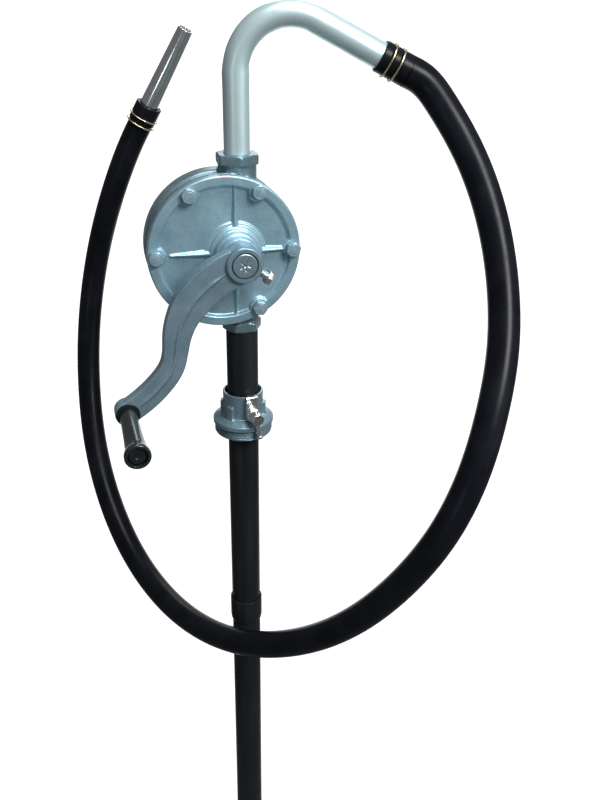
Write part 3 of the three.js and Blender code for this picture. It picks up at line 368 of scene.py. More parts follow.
spout_place = spout_end + [0, 0, shaft_height]
nozzle_place = nozzle_start + [0, 0, shaft_height]
spout_wires, nozzle_wires = 13.2, 19.5
spout_cuff_shape = placed(turned(cuff_profile(12.4, spout_cuff_radius, spout_wires)), spout_place, -spout_run)
spout_cuff_mesh = mesh_of("hose_end_on_spout", [spout_cuff_shape])
spout_cuff = fitted("hose_end_on_spout", spout_cuff_mesh, hose_rubber, "pump", ["hose_spout_end"])
nozzle_cuff_turned = turned(cuff_profile(11.5, nozzle_cuff_radius, nozzle_wires))
nozzle_cuff_shape = placed(nozzle_cuff_turned, nozzle_place, nozzle_run)
nozzle_cuff_mesh = mesh_of("hose_end_on_nozzle", [nozzle_cuff_shape])
nozzle_cuff = fitted("hose_end_on_nozzle", nozzle_cuff_mesh, hose_rubber, "pump", ["hose_nozzle_end"])

# ---- Wire clamps ----
# Two rings of bright brass wire drawn round each hose end, soldered to one small lug on the far
# side that a screw pulls together.


def brass_look(wire):
    tone = wire.noise(260, 3)
    return {
        "Base Color": tone.clamped(0.3, 0.7).mixed((0.62, 0.50, 0.26), (0.88, 0.78, 0.50)),
        "Roughness": 0.18 + 0.2 * tone,
        "Normal": wire.noise(2400, 2).bump(0.08, 0.0001),
    }


wire_brass = finish("wire_brass", {"Metallic": 1.0}, brass_look)


def wire_clamp(cuff_radius, wires_from_mouth):
    """Two rings of round wire, and a lug with rounded corners beside them."""
    centre = cuff_radius + 0.3 + wire_radius
    middle = cuff_length - wires_from_mouth
    turn = np.linspace(0, 2 * np.pi, 16, endpoint=False)
    section = np.stack([centre + wire_radius * np.cos(turn), wire_radius * np.sin(turn)], -1)
    rings = [turned(section + [0, middle + side * wire_gap / 2], 120) for side in (-1, 1)]
    return rings + [slab((centre + 2.8, 0, middle), (3.2, 3, wire_gap / 2 + wire_radius), 0.8)]


def slab(centre, half, rounding, rows=20, columns=44):
    """A block with rounded edges: a cube of points swollen from a sphere by taking each coordinate
    to a small power, which leaves flat sides and soft corners."""
    rise = np.linspace(-np.pi / 2, np.pi / 2, rows + 2)[1:-1, None]
    turn = np.linspace(0, 2 * np.pi, columns, endpoint=False)[None, :]
    power = min(1.0, 1.6 * rounding / min(half))

    def swollen(value):
        return np.sign(value) * np.abs(value) ** power

    shape = np.stack(
        [
            swollen(np.cos(rise)) * swollen(np.cos(turn)),
            swollen(np.cos(rise)) * swollen(np.sin(turn)),
            swollen(np.sin(rise)) * np.ones_like(turn),
        ],
        -1,
    )
    return skin(np.asarray(centre, float) + shape * np.asarray(half, float))


def clamp_screw_shape(cuff_radius, wires_from_mouth):
    """The lug's screw: a round head with a shallow dome on a plain shank."""
    profile = [[0, -6], [1.5, -6], [1.5, 3.3], [2.9, 3.3], [2.9, 4.2], [2.2, 4.8], [0, 4.9]]
    centre = (cuff_radius + 4.95, 0, cuff_length - wires_from_mouth)
    return placed(turned(eased(profile, 0.3), 40), centre, (0, 1, 0))


for place, run, radius, wires, lug_way, end in (
    (spout_place, -spout_run, spout_cuff_radius, spout_wires, (0.019, 0.938, -0.346), "spout"),
    (nozzle_place, nozzle_run, nozzle_cuff_radius, nozzle_wires, (0.506, 0.861, -0.049), "nozzle"),
):
    rings = [placed(shape, place, run, lug_way) for shape in wire_clamp(radius, wires)]
    screw = placed(clamp_screw_shape(radius, wires), place, run, lug_way)
    for name, shapes, node in ((f"{end}_wires", rings, ""), (f"{end}_wires_screw", [screw], "_screw")):
        fitted(name, mesh_of(name, shapes), wire_brass, "pump", [f"{end}_wire_clamp{node}"])

# ---- Nozzle ----
# A thin polished tube that tapers towards its tip, pushed into the hose, with a rolled edge.


def polished_look(wire):
    draw = wire.noise(420, 3, (1, 1, 0.02))
    return {
        "Base Color": draw.clamped(0.3, 0.7).mixed((0.76, 0.78, 0.76), (0.92, 0.94, 0.92)),
        "Roughness": 0.1 + 0.14 * draw,
        "Normal": draw.bump(0.03, 0.00005),
    }


polished_tube = finish("polished_tube", {"Metallic": 1.0}, polished_look)
nozzle_length = 98
nozzle_profile = [
    [10.0, 0],
    [11.2, 0],
    [11.2, cuff_length],
    [8.9, cuff_length + nozzle_length],
    [7.7, cuff_length + nozzle_length],
    [10.0, cuff_length],
]
nozzle_rounding = [0.3, 0.3, 6, 0.6, 0.6, 6]
nozzle_shape = placed(turned(eased(nozzle_profile, nozzle_rounding), 96), nozzle_place, nozzle_run)
nozzle_mesh = mesh_of("delivery_nozzle", [nozzle_shape])
nozzle = fitted("delivery_nozzle", nozzle_mesh, polished_tube, "pump", ["nozzle"])

[tuple(p) for p in hose_line / 1000]

# ---- Spout ----
# A galvanised steel tube bent over at the top and a little flattened in the bend. Its foot is
# screwed into the outlet, and the hose is pushed over its other end.
spout_foot, bend_height, bend_radius, bend_angle, spout_reach = 71.8, 156.7, 49.1, 2.043, 91.5
spout_radius, spout_wall = 12.1, 1.5
spout_rise, spout_bend = bend_height - spout_foot, bend_radius * bend_angle
spout_turn = 0.21
spout_sideways = np.array([math.cos(spout_turn), -math.sin(spout_turn), 0])
spout_square = np.array([math.sin(spout_turn), math.cos(spout_turn), 0])
distance = np.linspace(0, spout_rise + spout_bend + spout_reach, 300)
bent = np.clip((distance - spout_rise) / bend_radius, 0, bend_angle)
beyond = np.maximum(distance - spout_rise - spout_bend, 0)
spout_up = spout_foot + np.minimum(distance, spout_rise) + bend_radius * np.sin(bent) + beyond * np.cos(bent)
spout_out = bend_radius * (1 - np.cos(bent)) + beyond * np.sin(bent)
outlet_x = -2.0
spout_line = np.array([outlet_x, 0, shaft_height]) + spout_out[:, None] * spout_sideways
spout_line = spout_line + spout_up[:, None] * [0, 0, 1]
in_bend = np.clip(bent / 0.15, 0, 1) * np.clip((bend_angle - bent) / 0.15, 0, 1)
knee = np.exp(-(((distance - spout_rise + 2) / 7) ** 2))
spout_flat = 1 - 0.035 * in_bend + 0.02 * knee
outer_rings = carried(spout_line, spout_radius, 72, spout_square, spout_flat)
inner_rings = carried(spout_line, spout_radius - spout_wall, 72, spout_square, spout_flat)
lip_rings = [carried(spout_line, spout_radius - cut, 72, spout_square, spout_flat) for cut in (0.1, 0.45)]
far_lip, near_lip = [lip_rings[i][-1:] for i in (0, 1)], [lip_rings[i][:1] for i in (1, 0)]
spout_rings = np.concatenate([outer_rings[1:-1], *far_lip, inner_rings[::-1], *near_lip])


def galvanised_look(wire):
    cloud = wire.noise(60, 5, (1, 1, 0.35))
    fleck = wire.noise(900, 3)
    tone = cloud.clamped(0.35, 0.65)
    return {
        "Base Color": tone.mixed((0.58, 0.76, 0.78), (0.72, 0.90, 0.92)),
        "Metallic": 0.55 + 0.2 * tone,
        "Roughness": 0.3 + 0.12 * cloud + 0.06 * fleck,
        "Normal": (cloud + 0.3 * fleck).bump(0.1, 0.0003),
    }


galvanised = finish("galvanised", {"Specular IOR Level": 0.5}, galvanised_look)
spout_mesh = mesh_of("gooseneck_spout", [skin(spout_rings, "joined")])
spout = fitted("gooseneck_spout", spout_mesh, galvanised, "pump", ["spout"])

# ---- Casing ----
# One blue-grey casting: a drum open in front, with a hexagon-topped neck above for the spout and
# one below for the suction pipe, and a boss behind for the shaft's end.
shaft_x, chamber_x, inlet_x = -9.8, -20.0, 0.0
joint, casing_back = -18.0, 23.0


def about_y(shape, x, height=0.0):
    """A shape made about the third axis, laid along +Y at a place beside the shaft's level."""
    return placed(shape, (x, 0, shaft_height + height), (0, 1, 0), (1, 0, 0))


def hexagon(flats, low, high, ease):
    """A hexagonal bar about the third axis with a corner at the first: its radius is the apothem
    over the cosine of the angle to the nearest flat, cut by a cone towards both ends."""
    turn = np.linspace(0, 2 * np.pi, 120, endpoint=False)
    to_flat = (turn % (np.pi / 3)) - np.pi / 6
    side = flats / 2 / np.cos(to_flat)
    corner = flats / math.sqrt(3)
    steps = np.linspace(0, 1, 6)
    height = np.concatenate([low + ease * steps, high - ease * steps[::-1]])
    depth = np.concatenate([1 - steps, 1 - steps[::-1]])
    cone = corner - (corner - flats / 2 + 0.25) * depth**1.6
    radius = np.minimum(side[None, :], cone[:, None]) - 0.25 * depth[:, None]
    middle = (corner - 0.35) - np.maximum(corner - 0.35 - radius, 0)
    rings = np.stack([middle * np.cos(turn), middle * np.sin(turn), height[:, None] + 0 * turn], -1)
    return skin(rings)


def spun(shape, angle):
    """A shape turned about the third axis."""
    c, s = math.cos(angle), math.sin(angle)
    return (shape[0] @ np.array([[c, s, 0], [-s, c, 0], [0, 0, 1]]), *shape[1:])


def fused(name, skins, voxel, rounds, cuts=()):
    """Closed skins grown together into one: they are read into cells of the voxel size, which also
    rounds the corners between them, then smoothed, and the cutting skins are taken out. With no
    voxel size the skins are only cut. The mesh comes out in metres."""
    rough = bpy.data.objects.new(name, mesh_of(name, skins, 1.0))
    bpy.context.scene.collection.objects.link(rough)
    if voxel:
        grown = rough.modifiers.new("grown", "REMESH")
        grown.mode, grown.voxel_size = "VOXEL", voxel
        softened = rough.modifiers.new("softened", "SMOOTH")
        softened.iterations, softened.factor = rounds, 0.5
    tools = []
    for i, cut in enumerate(cuts):
        tool = bpy.data.objects.new(f"{name}_cut_{i}", mesh_of(f"{name}_cut_{i}", cut, 1.0))
        bpy.context.scene.collection.objects.link(tool)
        taken = rough.modifiers.new(f"cut_{i}", "BOOLEAN")
        taken.operation, taken.solver, taken.object = "DIFFERENCE", "MANIFOLD", tool
        tools.append(tool)
    bpy.context.view_layer.update()
    seen = rough.evaluated_get(bpy.context.evaluated_depsgraph_get())
    mesh = bpy.data.meshes.new_from_object(seen)
    mesh.name = name
    for used in [rough, *tools]:
        bpy.data.objects.remove(used)
    mesh.transform(Matrix.Scale(0.001, 4))
    mesh.polygons.foreach_set("use_smooth", np.ones(len(mesh.polygons), bool))
    mesh.update()
    return mesh


def cast_look(wire, dark=(0.165, 0.265, 0.330), light=(0.31, 0.45, 0.52)):
    cloud = wire.noise(35, 5, (1, 1, 1), 0.6)
    grain = wire.noise(750, 4, (1, 1, 1), 0.65)
    speck = wire.noise(1900, 2, (1, 1, 1), 0.7)
    tone = 0.45 * cloud + 0.3 * grain + 0.25 * speck
    return {
        "Base Color": tone.clamped(0.4, 0.6).mixed(dark, light),
        "Metallic": 0.55 + 0.2 * cloud,
        "Roughness": 0.27 + 0.2 * grain,
        "Normal": (0.7 * grain + 0.5 * speck).bump(0.3, 0.0005),
    }


cast_alloy = finish("cast_alloy", {"Specular IOR Level": 0.5}, cast_look)
casing_profile = [
    [0, 15],
    [53, 15],
    [53, joint],
    [72.2, joint],
    [72.2, -13.5],
    [66.2, -12.0],
    [66.2, 0.5],
    [71.2, 3.5],
    [71.2, casing_back],
    [0, casing_back],
]
casing_rounding = [0, 0.5, 0.4, 0.6, 0.6, 1.4, 2.0, 2.4, 6.5, 0]
drum = about_y(turned(eased(casing_profile, casing_rounding, 8), 200), chamber_x)
rear_boss = about_y(turned(eased([[0, 15], [19, 15], [19, 34], [0, 34]], 2), 96), shaft_x)
neck_top = 86.5
ports, bores = [], []
for x, over, radius, flats, bore in (
    (outlet_x, False, 18.0, 36.8, 12.4),
    (inlet_x, True, 17.0, 34.8, 13.7),
):
    way = (0, 0, -1) if over else (0, 0, 1)
    centre = (x, 0, shaft_height)
    top = hexagon(flats, neck_top - 10.0, neck_top, 1.3)
    corner_to_front = -math.pi / 2 + (math.pi / 6 if over else 0)
    ports += [
        placed(turned([[0, 56], [radius, 56], [radius, 78], [0, 78]], 120), centre, way, (1, 0, 0)),
        placed(spun(top, corner_to_front), centre, way, (1, 0, 0)),
    ]
    bore_foot = [[0, 30], [10.5, 30], [10.5, 71.5]]
    bore_profile = [*bore_foot, [bore, 71.5], [bore, 85.7], [bore + 0.9, 87.5], [0, 87.5]]
    bores.append(placed(turned(bore_profile, 96), centre, way, (1, 0, 0)))
bores.append(about_y(turned([[0, 14], [13.92, 14], [13.92, 30], [0, 30]], 96), shaft_x))
bolt_circle = 64.8
bolt_turns = [math.pi * i / 3 for i in range(6)]
bolt_places = [
    (chamber_x + bolt_circle * math.cos(turn), -bolt_circle * math.sin(turn)) for turn in bolt_turns
]
bolt_hole = turned([[0, -19], [4.1, -19], [4.1, -8.9], [0, -8.9]], 32)
bores += [about_y(bolt_hole, x, z) for x, z in bolt_places]
casing_mesh = fused("pump_casing", [drum, rear_boss, *ports], 0.8, 3, [bores])
# The casing gets a darker copy of the cast finish: painted shade, standing for the shadow on the drum's side
# and in its groove.
casing_alloy_painted_shade = finish(
    "casing_alloy_painted_shade",
    {"Specular IOR Level": 0.4},
    lambda wire: cast_look(wire, (0.115, 0.18, 0.215), (0.235, 0.345, 0.39)),
)
casing = fitted("pump_casing", casing_mesh, casing_alloy_painted_shade, "pump", ["casing"])

# ---- Cover ----
# A cast disc with a raised rim, lobes round the six bolts, a stepped boss for the shaft and four
# ridges that run out from it to the rim.
cover_back, cover_front, cover_panel, boss_front = -19.1, -26.7, -22.9, -45.0
plate_profile = [
    [0, cover_back],
    [72.2, cover_back],
    [72.2, cover_front],
    [63.4, cover_front],
    [62.2, cover_panel],
    [0, cover_panel],
]
plate = about_y(turned(eased(plate_profile, [0, 0.5, 1.6, 1.0, 1.4, 0], 8), 200), chamber_x)
boss_profile = [
    [0, -21],
    [28.6, -21],
    [28.6, -24.5],
    [24.8, -25.0],
    [24.4, -27.9],
    [21.0, -28.4],
    [20.4, -34.9],
    [18.2, -35.4],
    [18.2, boss_front],
    [0, boss_front],
]
boss = about_y(turned(eased(boss_profile, [0, 0, 1.2, 1.2, 1.4, 2.2, 0.9, 1.0, 1.0, 0], 7), 160), shaft_x)


def lobe(x, height):
    """A round pad behind a bolt's head, pressed in where it would pass the cover's edge."""
    profile = [[0, -20], [9.2, -20], [9.2, cover_front], [0, cover_front]]
    points, quads, fans = about_y(turned(eased(profile, 1.2, 6)), x, height)
    middle = np.array([chamber_x, 0, shaft_height])
    off = (points - middle) * [1, 0, 1]
    far = np.linalg.norm(off, axis=1)[:, None]
    off = off * np.minimum(1, 71.0 / np.maximum(far, 1))
    return middle + off + points * [0, 1, 0], quads, fans


def ridge(angle):
    """A ridge whose section is a triangle with a blunt crest: it narrows and sinks to the rim."""
    out = np.array([math.cos(angle), 0, math.sin(angle)])
    side = np.array([-out[2], 0, out[0]])
    reach = np.linspace(19, 62, 24)
    foot = np.array([shaft_x, 0, shaft_height])
    limit = np.array([chamber_x, 0, shaft_height])
    along = foot + reach[:, None] * out
    keep = np.linalg.norm(along - limit, axis=1) < 64.5
    along, share = along[keep], (reach[keep] - 19) / 43
    wide, tall = 4.4 - 3.0 * share, 4.8 - 2.6 * share
    across = np.array([-1.0, -0.62, -0.25, 0.25, 0.62, 1.0, 0.5, -0.5])
    down = np.array([0.0, 0.42, 1.0, 1.0, 0.42, 0.0, 0.0, 0.0])
    under = np.array([1.0, 0.0, 0.0, 0.0, 0.0, 1.0, 1.6, 1.6])
    depth = cover_panel + under[None, :] - (tall[:, None] * down[None, :])
    sideways = (wide[:, None] * across)[:, :, None] * side
    return skin(along[:, None, :] + sideways + depth[:, :, None] * np.array([0, 1, 0]))


shaft_bore = [[0, -18], [13.92, -18], [13.92, -43.9], [11.7, -43.9], [11.7, -46], [0, -46]]
cover_cuts = [about_y(turned(shaft_bore, 96), shaft_x)]
cover_hole = turned([[0, -18], [4.1, -18], [4.1, -27.9], [0, -27.9]], 32)
cover_cuts += [about_y(cover_hole, x, z) for x, z in bolt_places]
lobes = [lobe(x, z) for x, z in bolt_places]
cover_skins = [plate, boss, *lobes, *[ridge(math.pi * q / 2) for q in range(4)]]
cover_mesh = fused("pump_cover", cover_skins, 0.62, 2, [cover_cuts])
cover_alloy = finish(
    "cover_alloy",
    {"Specular IOR Level": 0.5},
    lambda wire: cast_look(wire, (0.235, 0.385, 0.47), (0.42, 0.63, 0.72)),
)
cover = fitted("pump_cover", cover_mesh, cover_alloy, "pump", ["cover"])

# ---- Cover bolts ----
# Six hexagon bolts of the same grey, each with a chamfered head resting on its lobe.


def bolt_look(wire):
    tone = wire.noise(420, 4)
    return {
        "Base Color": tone.clamped(0.35, 0.65).mixed((0.20, 0.31, 0.37), (0.33, 0.47, 0.54)),
        "Metallic": 0.35 + 0.2 * tone,
        "Roughness": 0.3 + 0.2 * tone,
        "Normal": tone.bump(0.25, 0.0003),
    }


bolt_grey = finish("bolt_grey", {"Specular IOR Level": 0.5}, bolt_look)


def bolt(shank_from, head_from, head, wide=13.0, shank=3.8, pitch=1.25):
    """A bolt along the third axis: the thread's radius is the shank's less a wave of the turn and
    the height, and the head is a chamfered hexagon on a thin round face."""
    rows = max(int((head_from - shank_from) / pitch * 10), 12)
    height = np.linspace(shank_from, head_from + 0.5, rows)[:, None]
    turn = np.linspace(0, 2 * np.pi, 40, endpoint=False)[None, :]
    wave = 0.5 - 0.5 * np.cos(2 * np.pi * height / pitch - turn)
    radius = shank - 0.55 * wave * np.clip((height - shank_from) / 1.0, 0.4, 1)
    thread = skin(np.stack([radius * np.cos(turn), radius * np.sin(turn), height + 0 * turn], -1))
    half, top = wide / 2, head_from + head
    rim, face_top = half - 0.3, head_from + 0.7
    face_profile = [[0, head_from], [rim, head_from], [rim, face_top], [0, face_top]]
    dish_profile = [[0, top - 1], [half - 1.6, top - 1], [half - 1.9, top + 0.12], [0, top + 0.18]]
    face, dish = turned(eased(face_profile, 0.2), 64), turned(eased(dish_profile, 0.3), 64)
    return [thread, face, hexagon(wide, head_from + 0.4, top, 1.2), dish]


for i, (x, z) in enumerate(bolt_places):
    shapes = [
        placed(spun(shape, 0.3 + 1.7 * i), (x, 0, shaft_height + z), (0, -1, 0), (1, 0, 0))
        for shape in bolt(9.2, 27.0, 5.3)
    ]
    name, node = f"cover_bolt_{i}", f"cover_bolt_{(6 - i) % 6 + 1}"
    made = fitted(name, mesh_of(name, shapes), bolt_grey, "pump", [node], 28)

# ---- Shaft ----
# A steel shaft whose end shows in the crank's hub, with a five-armed mark struck into its centre;
# the slot for the rotor's key is not cut.


def steel_look(wire):
    ring = wire.noise(700, 3, (1, 0.2, 1))
    return {
        "Base Color": ring.clamped(0.3, 0.7).mixed((0.26, 0.37, 0.42), (0.38, 0.50, 0.56)),
        "Metallic": 0.75 + 0.15 * ring,
        "Roughness": 0.3 + 0.15 * ring,
        "Normal": ring.bump(0.15, 0.0002),
    }


machined_steel = finish("machined_steel", {"Specular IOR Level": 0.5}, steel_look)


def shaft_shape():
    """Rings of one radius along the shaft, then smaller and smaller rings across its end, which is
    lowered by a round pit and by five arms, each a power of a cosine of the turn."""
    turn = np.linspace(0, 2 * np.pi, 120, endpoint=False)[None, :]
    side_at = np.array([-29.4, -28.6, 0, 30, 67.4, 67.9, 68.15])
    side_radius = np.array([10.8, 11.4, 11.4, 11.4, 11.4, 11.2, 10.8])
    face = np.linspace(10.5, 0.15, 40)
    radius = np.concatenate([side_radius, face])[:, None]
    reach = np.exp(-((face[:, None] / 5.0) ** 6)) * np.clip(face[:, None] / 1.2, 0, 1)
    arms = np.abs(np.cos(2.5 * turn + 0.4)) ** 10 * reach
    pit = np.exp(-((face[:, None] / 1.3) ** 2))
    lowered = 68.3 - 0.9 * np.maximum(arms, pit)
    at = np.concatenate([np.broadcast_to(side_at[:, None], (len(side_at), turn.size)), lowered])
    return skin(np.stack([radius * np.cos(turn), radius * np.sin(turn), at], -1))


shaft_skin = placed(shaft_shape(), (shaft_x, 0, shaft_height), (0, -1, 0), (1, 0, 0))
shaft = fitted("pump_shaft", mesh_of("pump_shaft", [shaft_skin]), machined_steel, "crank", ["shaft"])

# ---- Crank arm ----
# One grey casting with a hub for the shaft, an S-shaped arm with a thin rounded rib down its
# middle, and a boss for the handle.
handle_x, handle_z = -113.4, -138.0
arm_front, arm_back, hub_back = -64.0, -52.0, -46.0
arm_points = np.array(
    [
        [0.0, 0.0, 17.2],
        [0.165, 0.06, 17.7],
        [0.306, 0.143, 17.4],
        [0.443, 0.259, 16.3],
        [0.523, 0.377, 14.3],
        [0.562, 0.489, 12.8],
        [0.579, 0.587, 11.7],
        [0.614, 0.692, 11.4],
        [0.706, 0.801, 11.5],
        [0.833, 0.902, 11.6],
        [1.0, 1.0, 11.4],
    ]
) * [handle_x, handle_z, 1]
arm_line = smooth_line(arm_points, 160)


def strip(line, wide, thick, half_wide, half_thick, rounding, sides=40):
    """A bar of rounded rectangular section carried along a line: a point of each ring lies at the
    half sizes less the rounding, plus the rounding times the cosine and sine of its turn."""
    turn = (np.arange(sides) + 0.5) * 2 * np.pi / sides
    c, s = np.cos(turn)[None, :], np.sin(turn)[None, :]
    half_wide = np.broadcast_to(half_wide, len(line))[:, None]
    half_thick = np.broadcast_to(half_thick, len(line))[:, None]
    u = np.sign(c) * (half_wide - rounding) + rounding * c
    v = np.sign(s) * (half_thick - rounding) + rounding * s
    sideways = u[:, :, None] * wide[:, None, :]
    return skin(line[:, None, :] + sideways + v[:, :, None] * thick[:, None, :])


def in_front(line, depth):
    """A line drawn across the front, x and height from the shaft, set at a depth."""
    return np.stack([line[:, 0] + shaft_x, np.full(len(line), depth), line[:, 1] + shaft_height], -1)


middle_line = in_front(arm_line, (arm_front + arm_back) / 2)
arm_run = np.gradient(middle_line, axis=0)
arm_run /= np.linalg.norm(arm_run, axis=1)[:, None]
arm_wide = np.cross(arm_run, [0, 1, 0])
arm_thick = np.broadcast_to([0.0, 1.0, 0.0], arm_wide.shape)
arm_bar = strip(middle_line, arm_wide, arm_thick, arm_line[:, 2], (arm_back - arm_front) / 2, 1.5)
rib_line = in_front(arm_line[16:152], arm_front + 0.1)
rib_size = 1.75 * np.clip(np.linspace(0, 12, 136), 0.3, 1) * np.clip(np.linspace(12, 0, 136), 0.3, 1)
arm_rib = skin(carried(rib_line, rib_size, 20, (0, 1, 0)))
hub_profile = [[0, 45.9], [16.6, 45.9], [17.3, 46.6], [17.3, 66.2], [16.2, 68], [0, 68]]
hub = placed(turned(eased(hub_profile, 0.5, 5), 128), (shaft_x, 0, shaft_height), (0, -1, 0), (1, 0, 0))
boss_profile = [[0, 50], [12, 50], [12, 64.1], [0, 64.1]]
handle_place = (shaft_x + handle_x, 0, shaft_height + handle_z)
handle_boss = placed(turned(eased(boss_profile, 1.0, 5), 96), handle_place, (0, -1, 0), (1, 0, 0))
set_bolt_run = np.array([math.cos(-0.6), 0, math.sin(-0.6)])
set_bolt_place = np.array([shaft_x, hub_back - 8.8, shaft_height])
hub_bore = [[0, 44], [11.7, 44], [11.7, 62], [12.3, 62.5], [12.3, 67.3], [13.1, 69], [0, 69]]
pin_bore = [[0, 48], [5.15, 48], [5.15, 66], [0, 66]]
crank_cuts = [
    placed(turned(hub_bore, 96), (shaft_x, 0, shaft_height), (0, -1, 0), (1, 0, 0)),
    placed(turned(pin_bore, 64), handle_place, (0, -1, 0), (1, 0, 0)),
]
set_bolt_hole = turned([[0, 8], [4.1, 8], [4.1, 19], [0, 19]], 48)
bolt_cut = [placed(set_bolt_hole, set_bolt_place, set_bolt_run, (0, 1, 0))]
crank_skins = [arm_bar, arm_rib, hub, handle_boss]
crank_mesh = fused("crank_arm_casting", crank_skins, 0.55, 2, [crank_cuts, bolt_cut])
crank = fitted("crank_arm_casting", crank_mesh, cast_alloy, "crank", ["crank_arm"])

# ---- Crank's set bolt ----
# A bright plated hexagon bolt screwed through the hub onto the shaft, standing well proud of it.


def nickel_look(wire):
    haze = wire.noise(900, 3)
    return {
        "Base Color": haze.clamped(0.3, 0.7).mixed((0.66, 0.67, 0.66), (0.90, 0.91, 0.90)),
        "Roughness": 0.2 + 0.14 * haze,
        "Normal": haze.bump(0.05, 0.00005),
    }


bright_nickel = finish("bright_nickel", {"Metallic": 1.0}, nickel_look)
set_shapes = [placed(shape, set_bolt_place, set_bolt_run, (0, 1, 0)) for shape in bolt(11.7, 26.8, 5.3)]
set_bolt = fitted("set_bolt", mesh_of("set_bolt", set_shapes), bright_nickel, "crank", ["crank_set_bolt"], 28)

# ---- Handle ----
# A steel spindle riveted in the arm's boss, a thin washer, and a glossy black grip that turns on
# the spindle: slim by the arm, flared to a rim at its end, with the spindle's head sunk in it.


def grip_look(wire):
    streak = wire.noise(240, 4, (1, 0.15, 1))
    return {
        "Base Color": streak.clamped(0.3, 0.7).mixed((0.006, 0.010, 0.010), (0.014, 0.020, 0.020)),
        "Roughness": 0.16 + 0.16 * streak,
        "Coat Weight": 0.3 + 0.3 * streak,
        "Normal": streak.bump(0.06, 0.0002),
    }


def black_steel_look(wire):
    tone = wire.noise(300, 4)
    return {
        "Base Color": tone.clamped(0.3, 0.7).mixed((0.010, 0.012, 0.014), (0.035, 0.04, 0.045)),
        "Metallic": 0.5 + 0.3 * tone,
        "Roughness": 0.35 + 0.2 * tone,
        "Normal": tone.bump(0.1, 0.0002),
    }


grip_plastic = finish("grip_plastic", {"Specular IOR Level": 0.25, "Coat Roughness": 0.12}, grip_look)
black_steel = finish("black_steel", {"Specular IOR Level": 0.5}, black_steel_look)
spindle_profile = [
    [0, 50],
    [5, 50],
    [5, 141.5],
    [8, 141.5],
    [8, 143.3],
    [7.2, 143.9],
    [3.2, 143.9],
    [2.4, 143.2],
    [0, 143.2],
]
washer_profile = [[5.3, 64.3], [11.4, 64.3], [11.4, 65.9], [5.3, 65.9]]
grip_profile = [
    [5.3, 66.2],
    [7.7, 66.2],
    [8.3, 67.2],
    [8.45, 85],
    [8.9, 106.2],
    [9.35, 120],
    [10.1, 134.2],
    [11.1, 139],
    [12, 141.2],
    [12, 145.2],
    [11, 146.2],
    [9, 146.2],
    [9, 141.2],
    [5.3, 141.2],
]
grip_rounding = [0.3, 0.5, 0.5, 4, 5, 4, 3, 1.5, 1.0, 0.6, 0.5, 0.4, 0.4, 0.3]
for name, profile, ease, look, body, node, slot in (
    ("handle_pin", spindle_profile, 0.3, black_steel, "crank", "handle_spindle", "steel"),
    ("handle_washer_ring", washer_profile, 0.35, black_steel, "crank", "handle_washer", "steel"),
    ("grip", grip_profile, grip_rounding, grip_plastic, "grip", "handle_grip", "grip_plastic"),
):
    shape = placed(turned(eased(profile, ease, 6), 96), handle_place, (0, -1, 0), (1, 0, 0))
    made = fitted(name, mesh_of(name, [shape]), look, body, [node], 30)

# ---- Suction pipe ----
# Three lengths of black lacquered steel tube joined by sleeves; the first is screwed into the
# inlet, and the last has a notch across its foot so that it can draw at the drum's bottom.


def lacquer_look(wire):
    run = wire.noise(70, 5, (1, 1, 0.08))
    fleck = wire.noise(700, 3)
    return {
        "Base Color": run.clamped(0.35, 0.65).mixed((0.008, 0.010, 0.012), (0.018, 0.022, 0.025)),
        "Roughness": 0.3 + 0.14 * run + 0.08 * fleck,
        "Normal": (0.5 * run + 0.5 * fleck).bump(0.08, 0.0002),
    }


black_lacquer = finish("black_lacquer", {"Specular IOR Level": 0.14}, lacquer_look)
pipe_tops, pipe_length = [103.7, -246.3, -596.3], 349.7
for top, name in zip(pipe_tops, ("upper", "middle", "lower")):
    low = top - pipe_length
    profile = [[14, low], [16, low], [16, top], [14, top]]
    if name == "upper":
        spigot = [[13.4, top], [13.4, top + 13], [11.4, top + 13], [11.4, top - 2], [14, top - 4]]
        profile = profile[:3] + spigot
    shape = placed(turned(eased(profile, 0.4), 96), (inlet_x, 0, 0), (0, 0, 1), (1, 0, 0))
    if name == "lower":
        notch = slab((inlet_x, 0, low + 5), (6, 18, 7), 0.7)
        mesh = fused(f"{name}_pipe", [shape], None, 0, [[notch]])
    else:
        mesh = mesh_of(f"{name}_pipe", [shape])
    made = fitted(f"{name}_pipe", mesh, black_lacquer, "pump", [f"suction_pipe_{name}"], 30)
for i, middle in enumerate(pipe_tops[1:], 1):
    low, high = middle - 15, middle + 15
    profile = [[16.3, low], [17.1, low], [17.9, middle - 11], [17.9, high], [16.3, high]]
    sleeve = turned(eased(profile, [0.2, 0.4, 2, 0.5, 0.2]), 96)
    shape = placed(sleeve, (inlet_x, 0, 0), (0, 0, 1), (1, 0, 0))
    name = f"sleeve_{i}"
    made = fitted(name, mesh_of(name, [shape]), black_lacquer, "pump", [f"pipe_sleeve_{i}"], 30)

# ---- Bung adapter ----
# A grey casting that screws into the drum: a fine outside thread, a flange that slopes up to a
# collar, six upright lugs on the collar, and a bore with a widened mouth for the pipe.
clamp_turn = 0.18
clamp_out = np.array([math.sin(clamp_turn), -math.cos(clamp_turn), 0])
clamp_side = np.array([math.cos(clamp_turn), math.sin(clamp_turn), 0])
clamp_axis = np.array([0, 0, 17.5])
collar_profile = [
    [0, -0.2],
    [31.3, -0.2],
    [31.3, 4.5],
    [24.6, 8],
    [20.8, 9.2],
    [20.8, 35],
    [0, 35],
]
collar = turned(eased(collar_profile, [0, 0.4, 0.7, 2.0, 1.2, 0.9, 0], 8), 200)
lug = slab((19.2, 0, 13.8), (4.3, 3.6, 8.9), 0.35, 60, 88)
lugs = [spun(lug, clamp_turn - math.pi / 2 + math.pi * i / 3) for i in range(6)]


